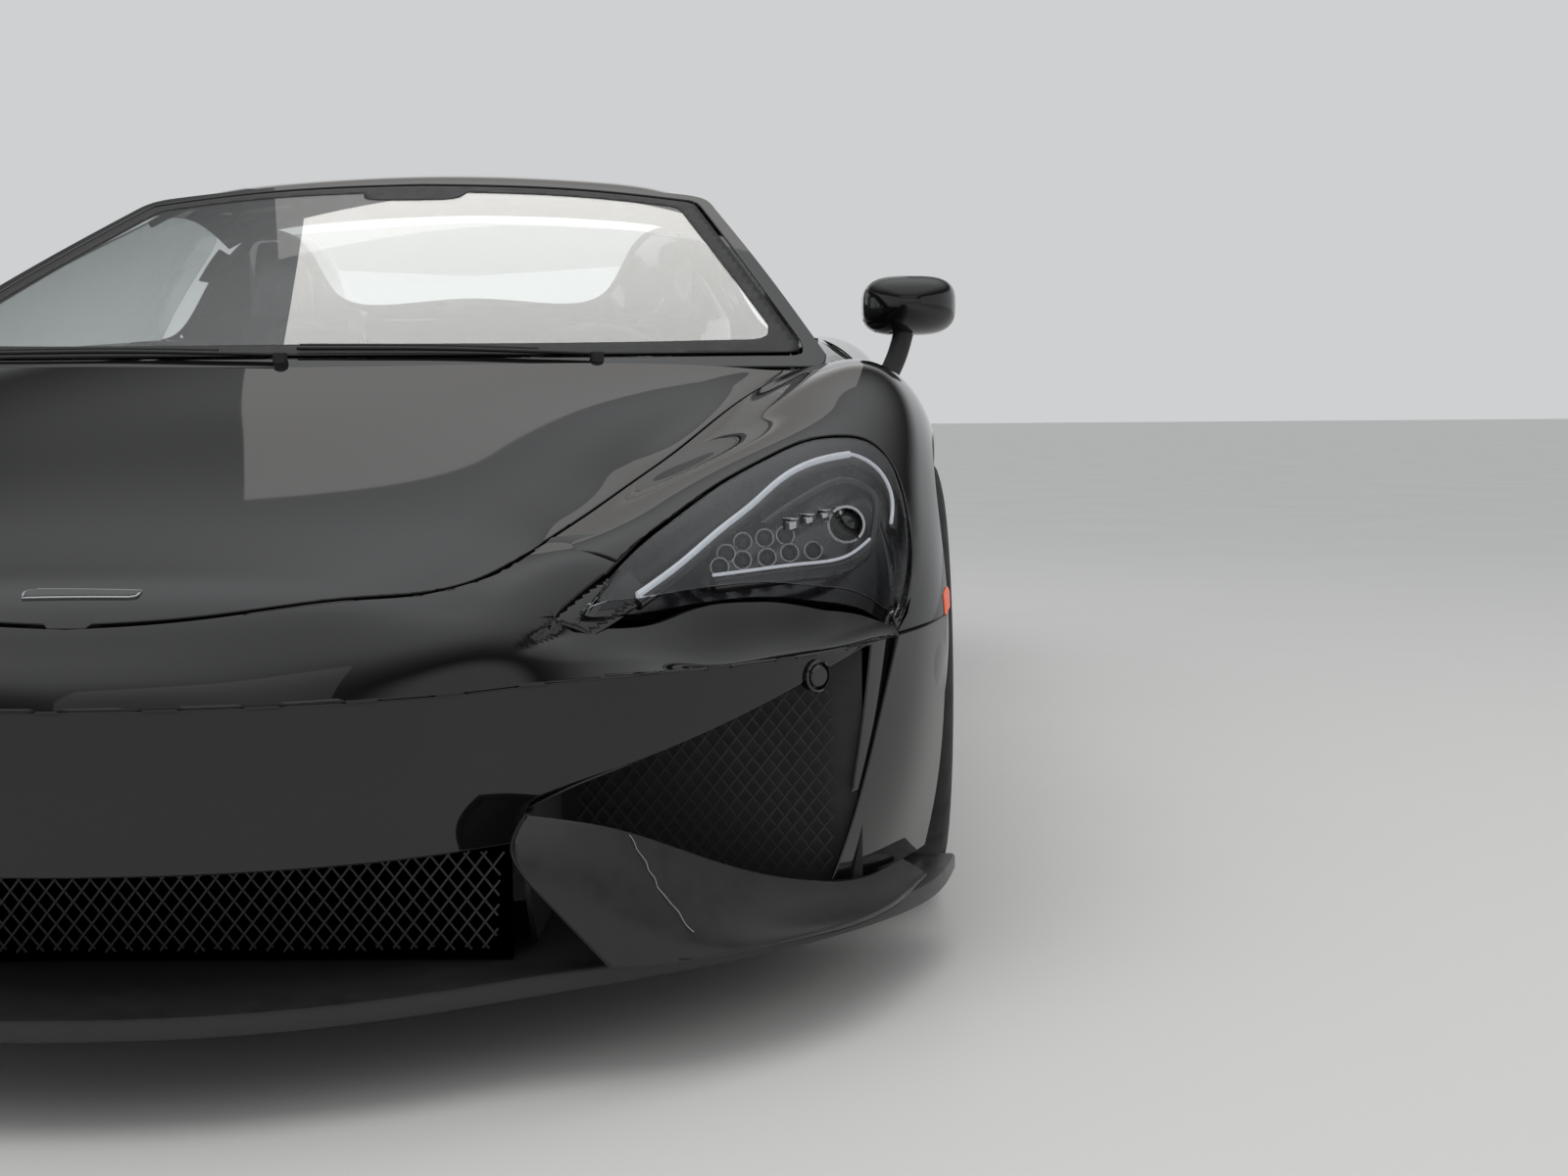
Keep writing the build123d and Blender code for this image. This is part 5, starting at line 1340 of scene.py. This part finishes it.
    def brake(self, corner, x, y, r, side, wheel, carrier):
        bm = bmesh.new()
        for near, far in ((-30, -20), (-10, 0)):
            spun(bm, [(near * side, 92), (near * side, 188), (far * side, 188), (far * side, 92)], axis="Y",
                 steps=72)
        for k in range(36):
            a = math.tau * k / 36
            block(bm, (5, 10.5, 88), (140 * math.sin(a), -15 * side, 140 * math.cos(a)),
                  Matrix.Rotation(a, 4, "Y"), 0)
        spun(bm, [(-30 * side, 70), (-26 * side, 94), (8 * side, 90), (20 * side, 70), (20 * side, 40),
                  (14 * side, 40)],
             axis="Y", steps=48)
        bmesh.ops.translate(bm, vec=Vector((x, y, r)) * MM, verts=bm.verts)
        piece(bm, f"brake_disc_{corner}", FINISHES["disc"], wheel, (), 0, 0, 35)
        bm = bmesh.new()
        t = np.radians(np.linspace(152, 208, 15))
        arc = np.concatenate([np.stack([205 * np.cos(t), 205 * np.sin(t)], 1),
                              np.stack([128 * np.cos(t), 128 * np.sin(t)], 1)[::-1]])
        for near, far in ((-72, -38), (8, 27)):
            slab(bm, arc + [x, r], SIDE_VIEW, y + near * side, y + far * side, 5)
        rim_arc = np.concatenate([np.stack([210 * np.cos(t), 210 * np.sin(t)], 1),
                                  np.stack([197 * np.cos(t), 197 * np.sin(t)], 1)[::-1]])
        slab(bm, rim_arc + [x, r], SIDE_VIEW, y - 70 * side, y + 25 * side, 3)
        piece(bm, f"brake_caliper_{corner}", FINISHES["caliper"], carrier, (), 0, 0, 40)


# ------------------------------------------------------------------ cabin
def cushion(bm, corners, crown, cuts=5):
    """A crowned closed pad through eight corners, its sides drawn in between them."""
    part = bmesh.new()
    bmesh.ops.create_cube(part, size=2)
    bmesh.ops.subdivide_edges(part, edges=part.edges[:], cuts=cuts, use_grid_fill=True)
    lo, hi = np.array(corners[:4], float), np.array(corners[4:], float)
    for v in part.verts:
        a, b, c = ((co + 1) / 2 for co in v.co)
        flat = [(1 - a) * (1 - b), a * (1 - b), a * b, (1 - a) * b]
        low = sum(w * p for w, p in zip(flat, lo))
        high = sum(w * p for w, p in zip(flat, hi))
        swell = 16 * a * (1 - a) * b * (1 - b)
        p = low + (high - low) * (c + (crown * swell if c > 0.5 else 0) * (2 * c - 1))
        v.co = Vector(p) * MM
    join(bm, part)


def seat(bm, y):
    """The squab, backrest and headrest of one seat at y, each a closed pad."""
    w = 150
    def pad(x0, z0, x1, z1, y0, y1, thick, crown, lean):
        t = Vector((x1 - x0, 0, z1 - z0)).normalized()
        n = Vector((-t.z, 0, t.x)) * (-1 if lean else 1) * thick
        base = [(x0, y0, z0), (x1, y0, z1), (x1, y1, z1), (x0, y1, z0)]
        cushion(bm, base + [(px + n.x, py, pz + n.z) for px, py, pz in base], crown)
    pad(-40, 215, 330, 235, y - w, y + w, 75, 0.35, False)
    pad(-240, 240, -345, 640, y - 128, y + 128, -85, 0.3, False)
    pad(-335, 655, -392, 880, y - 105, y + 105, -70, 0.4, False)


class BuildCabin(CarOperator, bpy.types.Operator):
    """Builds the seats, the dashboard, the console and the steering wheel"""

    bl_idname = "supercar.cabin"
    bl_label = "Cabin"

    def execute(self, context):
        for name, y in (("left", 330), ("right", -330)):
            bm = bmesh.new()
            seat(bm, y)
            pad = piece(bm, f"seat_pads_{name}", FINISHES["leather"], "chassis", "seats", 0, 0, 80,
                        2)
            bm = bmesh.new()
            for out in (-1, 1):
                cy = y + out * 168
                bar(bm, [(340, cy, 262, 44, 70), (200, cy, 285, 56, 110), (0, cy, 290, 58, 130),
                         (-150, cy, 330, 60, 130),
                         (-225, cy, 450, 60, 120), (-285, cy, 620, 52, 95), (-330, cy - out * 20, 740, 36,
                             60)], 20, 0.8)
            roll = piece(bm, f"seat_bolsters_{name}", FINISHES["suede"], "chassis", (), 0, 0, 80, 1)
            bm = bmesh.new()
            shell = Loft([(-245, y - 185, 190), (-345, y - 178, 560), (-400, y - 120, 800),
                          (-432, y - 90, 915)],
                         [(-285, y - 60, 190), (-390, y - 60, 560), (-440, y - 45, 800),
                          (-455, y - 30, 925)],
                         [(-285, y + 60, 190), (-390, y + 60, 560), (-440, y + 45, 800),
                          (-455, y + 30, 925)],
                         [(-245, y + 185, 190), (-345, y + 178, 560), (-400, y + 120, 800),
                          (-432, y + 90, 915)])
            sheet(bm, shell, (0, 3), (0, 3), (40, 30), (-1, 0, 0))
            block(bm, (560, 330, 62), (40, y, 172), None, 14)
            piece(bm, f"seat_shell_{name}", FINISHES["gloss"], "chassis", (), 6, 1.5)
        bm = bmesh.new()
        rails = [[(x, y, z) for y in (-690, -400, 0, 400, 690)] for x, z in
                 ((704, 792), (640, 802), (560, 796), (505, 770), (478, 725), (486, 680), (520, 625),
                  (560, 585), (640, 562))]
        sheet(bm, Loft(*rails), (0, 4), (0, 8), (70, 60), (-0.3, 0, 1))
        piece(bm, "dashboard_skin", FINISHES["suede"], "chassis", "dashboard", 10, 2)
        bm = bmesh.new()
        for y in (-560, -200, 200, 560):
            spun(bm, [(0, 26), (6, 34), (0, 40), (-8, 38), (-8, 26)], (476, y, 700), "X", 32)
            for k in range(-3, 4):
                block(bm, (4, 52, 2.5), (474, y, 700 + k * 7), None, 0.5)
        block(bm, (14, 150, 190), (478, 0, 650), Matrix.Rotation(-0.2, 4, "Y"), 6)
        piece(bm, "dashboard_vents", FINISHES["gloss"], "chassis", (), 0, 0)
        bm = bmesh.new()
        block(bm, (8, 128, 168), (469, 0, 652), Matrix.Rotation(-0.2, 4, "Y"), 3)
        block(bm, (10, 210, 84), (470, 370, 742), Matrix.Rotation(-0.35, 4, "Y"), 8)
        piece(bm, "dashboard_displays", FINISHES["screen"], "chassis", (), 0, 0)
        bm = bmesh.new()
        hood = Loft(*[[(x, 370 + y, z + lift) for y, lift in ((-150, -14), (-110, 20), (0, 32), (110, 20),
            (150, -14))]
                      for x, z in ((600, 778), (520, 786), (452, 782))])
        sheet(bm, hood, (0, 4), (0, 2), (40, 20), (0, 0, 1))
        piece(bm, "instrument_hood", FINISHES["suede"], "chassis", (), 5, 2)
        bm = bmesh.new()
        side = chained([(700, 548)], [(600, 545), (470, 490), (300, 416)], [(0, 404), (-250, 402)],
                       [(-380, 470), (-480, 596)], [(-530, 596)], [(-530, 145)], [(700, 145)])
        slab(bm, side, SIDE_VIEW, -94, 94, 16)
        piece(bm, "centre_console_skin", FINISHES["trim"], "chassis", "centre_console", 0, 0, 50)
        bm = bmesh.new()
        for x, z in ((190, 414), (150, 413), (110, 412)):
            block(bm, (26, 60, 10), (x, 0, z), None, 3)
        block(bm, (120, 70, 12), (10, 0, 410), None, 5)
        for y in (-84, 84):
            tube(bm, [(520, y, 520), (400, y, 468), (250, y, 412), (60, y, 408), (-200, y, 406)], 3)
        piece(bm, "console_switches", FINISHES["alloy"], "chassis", (), 0, 0)
        self.steering()
        return {"FINISHED"}

    def steering(self):
        rake = math.radians(24)
        hub, out = Vector((403.2, 370, 688.6)), Vector((-math.cos(rake), 0, math.sin(rake)))
        up = Vector((math.sin(rake), 0, math.cos(rake)))

        def at(a, b, c):
            return tuple(hub + Vector((0, 1, 0)) * a + up * b + out * c)

        bm = bmesh.new()
        ring = []
        for k in range(40):
            t = math.tau * k / 40
            r = 168 * (1 if math.sin(t) > -0.75 else 0.95)
            ring.append(at(r * math.cos(t), r * math.sin(t), 18))
        tube(bm, ring, 14.5, 16, closed=True, squash=1.15)
        piece(bm, "steering_rim", FINISHES["suede"], "steering_wheel", "steering_wheel", 0, 0, 80)
        bm = bmesh.new()
        for a in (-1, 1):
            tube(bm, [at(a * 34, 2, 16), at(a * 90, 6, 14), at(a * 158, 12, 18)], 9, 12, squash=1.9)
            tube(bm, [at(a * 10, -30, 14), at(a * 16, -90, 14), at(a * 20, -152, 18)], 7, 12, squash=1.6)
        part = bmesh.new()
        bmesh.ops.create_cube(part, size=2)
        bmesh.ops.subdivide_edges(part, edges=part.edges[:], cuts=4, use_grid_fill=True)
        for v in part.verts:
            a, b, c = v.co
            v.co = Vector(at(a * (52 - 14 * max(0, -b)), b * 46,
                             16 + c * (20 - 7 * (a * a + b * b) / 2))) * MM
        bmesh.ops.recalc_face_normals(part, faces=part.faces)
        join(bm, part)
        piece(bm, "steering_spokes", FINISHES["trim"], "steering_wheel", (), 0, 0, 50, 1)


# ------------------------------------------------------------------ lamps, openings and small parts
def netting(bm, view, poly, at, step, wire):
    """A net of crossing wires inside an outline drawn in a view, at a place along the other axis."""
    axis = ({0, 1, 2} - set(view)).pop()
    lo, hi = poly.min(0), poly.max(0)
    span = float(np.linalg.norm(hi - lo))
    middle = (lo + hi) / 2
    for way in (0.9, -0.9):
        along, over = np.array([math.cos(way), math.sin(way)]), np.array([-math.sin(way), math.cos(way)])
        for k in range(int(-span / step), int(span / step) + 1):
            line = middle + over * k * step + along * np.linspace(-span / 2, span / 2, 160)[:, None]
            kept = inside(poly, line)
            starts = np.flatnonzero(kept & ~np.concatenate([[False], kept[:-1]]))
            stops = np.flatnonzero(kept & ~np.concatenate([kept[1:], [False]]))
            for a, b in zip(starts, stops):
                if b - a < 2:
                    continue
                ends = []
                for p in (line[a], line[b]):
                    co = [0.0, 0.0, 0.0]
                    co[view[0]], co[view[1]], co[axis] = p[0], p[1], at + (wire if way > 0 else 0)
                    ends.append(co)
                length = math.dist(*ends)
                turn = (Vector(ends[1]) - Vector(ends[0])).to_track_quat("Z", "Y").to_matrix().to_4x4()
                block(bm, (wire, wire, length), tuple((np.array(ends[0]) + ends[1]) / 2), turn, 0)


class BuildTailDetails(CarOperator, bpy.types.Operator):
    """Builds the rear panel, the lamps, the exhaust, the diffuser and the rear grille"""

    bl_idname = "supercar.tail_details"
    bl_label = "Tail details"

    def execute(self, context):
        bm = bmesh.new()
        back = mirrored_front(run((0, 303), (812, 303)), run((812, 303), (832, 400), (840, 590)),
                              run((840, 590), (826, 738), (728, 824)), run((728, 824), (640, 836),
                                  (0, 844)))
        slot = mirrored_front(run((0, 548), (640, 548)), run((640, 548), (652, 560), (652, 690)),
                              run((652, 690), (600, 697), (0, 697)))
        flat = Loft(*[[(-2233, y, z) for y in (-900, -300, 300, 900)] for z in (280, 480, 680, 880)])
        sheet(bm, flat, (0, 3), (0, 3), (150, 60), (-1, 0, 0), (FRONT_VIEW, back, True),
              (FRONT_VIEW, slot, False))
        piece(bm, "rear_panel", FINISHES["satin"], "chassis", (), 4, 1.5)
        bm = bmesh.new()
        netting(bm, FRONT_VIEW, slot, -2216, 17, 2.4)
        piece(bm, "rear_netting", FINISHES["mesh"], "chassis", "grilles", 0, 0)
        bm = bmesh.new()
        for s in (-1, 1):
            tube(bm, [(-2238, s * 470, 730), (-2240, s * 640, 728), (-2238, s * 770, 716),
                      (-2236, s * 806, 690), (-2236, s * 812, 655)],
                 6, 12)
        piece(bm, "tail_lamp_strips", FINISHES["red"], "chassis", "tail_lights", 0, 0)
        bm = bmesh.new()
        for s in (-1, 1):
            spun(bm, [(-2255, 49), (-2258, 52), (-2255, 55), (-2050, 55), (-2050, 46), (-2235, 46)],
                 (0, s * 170, 620), "X", 56)
            spun(bm, [(-2240, 0.3), (-2240, 46), (-2236, 46), (-2236, 0.3)], (0, s * 170, 620), "X", 40)
        block(bm, (150, 650, 186), (-1990, 0, 620), None, 26)
        piece(bm, "exhaust_tips", FINISHES["steel"], "chassis", "exhaust", 0, 0, 40)
        bm = bmesh.new()
        floor = chained([(-2120, 205), (-2262, 272)], [(-2262, 298)], [(-2210, 297)],
                        [(-2100, 240), (-1900, 149)], [(-1900, 136)])
        slab(bm, floor, SIDE_VIEW, -640, 640, 2)
        fin = chained([(-2256, 270)], [(-2258, 200)], [(-2180, 142), (-2100, 129)], [(-1920, 140)])
        for y in (-450, -225, 0, 225, 450):
            slab(bm, fin, SIDE_VIEW, y - 4, y + 4, 1.5)
        piece(bm, "diffuser_fins", FINISHES["satin"], "chassis", "rear_diffuser", 0, 0, 40)
        bm = bmesh.new()
        block(bm, (6, 430, 112), (-2241, 0, 430), None, 2)
        piece(bm, "rear_plate_blank", FINISHES["plate"], "chassis", (), 0, 0)
        bm = bmesh.new()
        for x in range(-1380, -620, 62):
            block(bm, (34, 420, 5), (x, 0, float(DECK.z(x)[0]) + 4), Matrix.Rotation(-0.35, 4, "Y"), 2)
        piece(bm, "deck_louvres", FINISHES["satin"], "tonneau", (), 0, 0)
        bm = bmesh.new()
        sill = chained([(922, 124)], [(938, 150)], [(926, 214)], [(842, 214)], [(842, 124)])
        slab(bm, sill, FRONT_VIEW, -1074, 812, 3)
        both_sides(bm)
        piece(bm, "sill_blades", FINISHES["satin"], "chassis", "side_skirts", 0, 0, 40)
        return {"FINISHED"}


class BuildFrontDetails(CarOperator, bpy.types.Operator):
    """Builds the front grilles, the intake ducts and the wipers"""

    bl_idname = "supercar.front_details"
    bl_label = "Front details"

    def execute(self, context):
        bm = bmesh.new()
        wide = chained([(415, 136)], [(425, 246)], [(-425, 246)], [(-415, 136)])
        netting(bm, FRONT_VIEW, wide, 2062, 15, 2.2)
        for side in (-1, 1):
            net = chained([(780, 150)], [(780, 385)], [(640, 350), (470, 290)], [(470, 150)])
            netting(bm, FRONT_VIEW, net * [side, 1], 1768, 15, 2.2)
        piece(bm, "front_netting", FINISHES["mesh"], "chassis", (), 0, 0)
        bm = bmesh.new()
        block(bm, (10, 860, 130), (2050, 0, 190), None, 0)
        roof = [(float(x) - 8, float(y), z) for x, y, z in
                ((2046, 448, 284), (2026, 500, 306), (1988, 560, 324), (1944, 620, 345), (1892, 690, 372),
                 (1836, 760, 400),
                 (1776, 822, 428))]
        sheet(bm, Loft(roof, [(1755, y * 0.985, z - 6) for x, y, z in roof]), (0, 6), (0, 1), (40, 8),
              (0, 0, -1))
        sheet(bm, Loft([(1700, 862, 432), (1724, 838, 340), (1758, 806, 225), (1786, 772, 134)],
                       [(1600, 812, 432), (1600, 806, 340), (1600, 796, 225), (1600, 780, 134)]), (0,
                           3), (0, 1), (20, 12), (0, -1, 0))
        inner = chained([(1990, 128)], [(2045, 200), (2045, 280)], [(1755, 280)], [(1755, 128)])
        slab(bm, inner, SIDE_VIEW, 443, 449, 0)
        block(bm, (8, 380, 290), (1752, 625, 275), None, 0)
        both_sides(bm)
        piece(bm, "intake_ducts", FINISHES["plastic"], "chassis", (), 2, 0)
        bm = bmesh.new()
        for root, tip in ((-40, -560), (430, -20)):
            y = np.linspace(root, tip, 6)
            z = np.interp(np.linspace(0, 1, 6), (0, 0.5, 1), (798, 806, 808))
            path = [(float(screen_x(a, b)) + 22, a, b) for a, b in zip(y, z)]
            tube(bm, path, 4, 10, squash=0.8)
            blade = [(float(screen_x(a, b + 3)) + 9, a, b + 3) for a, b in zip(y[1:], z[1:])]
            tube(bm, blade, 2.6, 8, squash=1.8)
            spun(bm, [(-14, 0.3), (-14, 11), (4, 11), (7, 8), (8, 0.3)], (path[0][0], root, 796), "Z", 28)
        piece(bm, "wiper_arms", FINISHES["plastic"], "chassis", "wipers", 0, 0)
        return {"FINISHED"}


KEPT_NODES = {
    "tub": "carpet", "arch_liners": "under", "engine": "cast", "subframes": "cast", "wishbones": "steel",
    "rear_uprights": "cast", "knuckle_left": "cast", "knuckle_right": "cast", "luggage_bay": "carpet",
}


class FinishNodes(CarOperator, bpy.types.Operator):
    """Gives the solids that stay their finishes"""

    bl_idname = "supercar.kept_nodes"
    bl_label = "Chassis finishes"

    def execute(self, context):
        for name, node in NODES.items():
            material = FINISHES[KEPT_NODES.get(name, "under")]
            node.data.materials.clear()
            node.data.materials.append(material)
        return {"FINISHED"}


# ------------------------------------------------------------------ the add-on's panel and settings
class BodySettings(bpy.types.PropertyGroup):
    """The colours of the car"""

    paint_colour: bpy.props.FloatVectorProperty(
        name="Paint colour", description="The body panels' gloss paint", subtype="COLOR", default=(0.004,
            0.004, 0.0045)
    )
    trim_colour: bpy.props.FloatVectorProperty(
        name="Trim colour", description="The satin splitter and blades", subtype="COLOR", default=(0.012,
            0.012, 0.012)
    )
    wheel_colour: bpy.props.FloatVectorProperty(
        name="Wheel colour", description="The spoked rims", subtype="COLOR", default=(0.05, 0.05, 0.053)
    )
    caliper_colour: bpy.props.FloatVectorProperty(
        name="Caliper colour", description="The brake calipers", subtype="COLOR", default=(0.02, 0.02,
            0.021)
    )


class StageSettings(bpy.types.PropertyGroup):
    """The light and the floor"""

    floor_colour: bpy.props.FloatVectorProperty(
        name="Floor colour", description="The pale floor's colour", subtype="COLOR", default=(0.62, 0.62,
            0.61)
    )
    backdrop_colour: bpy.props.FloatVectorProperty(
        name="Backdrop colour", description="What shows behind the car", subtype="COLOR", default=(0.62,
            0.63, 0.64)
    )
    lamp_power: bpy.props.FloatProperty(
        name="Lamp power", description="The large softbox's strength", subtype="POWER", default=85.0, min=0.0
    )
    fill_light: bpy.props.FloatProperty(
        name="Fill light", description="How much the backdrop lights the car", default=1.15, min=0.0
    )
    ceiling_glow: bpy.props.FloatProperty(
        name="Ceiling glow", description="The brightness straight overhead as a share of the backdrop's", default=1.5, min=0.0
    )
    ceiling_share: bpy.props.FloatProperty(
        name="Ceiling share", description="The brightness just above the backdrop as a share of its own", default=0.05, min=0.0, max=1.0
    )


BUILDERS = [
    BuildBonnet,
    BuildNose,
    BuildFenders,
    BuildHeadlights,
    BuildScreen,
    BuildRoof,
    BuildDoors,
    BuildTail,
    BuildWheels,
    BuildCabin,
    BuildTailDetails,
    BuildFrontDetails,
    FinishNodes,
    BuildStage,
]


class SupercarPanel(bpy.types.Panel):
    """Lists the builders of the car's pieces"""

    bl_idname = "VIEW3D_PT_supercar"
    bl_label = "Supercar"
    bl_space_type = "VIEW_3D"
    bl_region_type = "UI"
    bl_category = "Supercar"

    def draw(self, context):
        column = self.layout.column()
        for builder in BUILDERS:
            column.operator(builder.bl_idname)
        for settings in (context.scene.supercar_body, context.scene.supercar_stage):
            for name in type(settings).__annotations__:
                column.prop(settings, name)


CLASSES = [BodySettings, StageSettings, *BUILDERS, SupercarPanel]


def register():
    for cls in CLASSES:
        bpy.utils.register_class(cls)
    bpy.types.Scene.supercar_body = bpy.props.PointerProperty(type=BodySettings)
    bpy.types.Scene.supercar_stage = bpy.props.PointerProperty(type=StageSettings)


def unregister():
    del bpy.types.Scene.supercar_stage
    del bpy.types.Scene.supercar_body
    for cls in reversed(CLASSES):
        bpy.utils.unregister_class(cls)


def main():
    register()
    make_finishes()
    for builder in BUILDERS:
        group, name = builder.bl_idname.split(".")
        getattr(getattr(bpy.ops, group), name)()


if __name__ == "__main__":
    main()
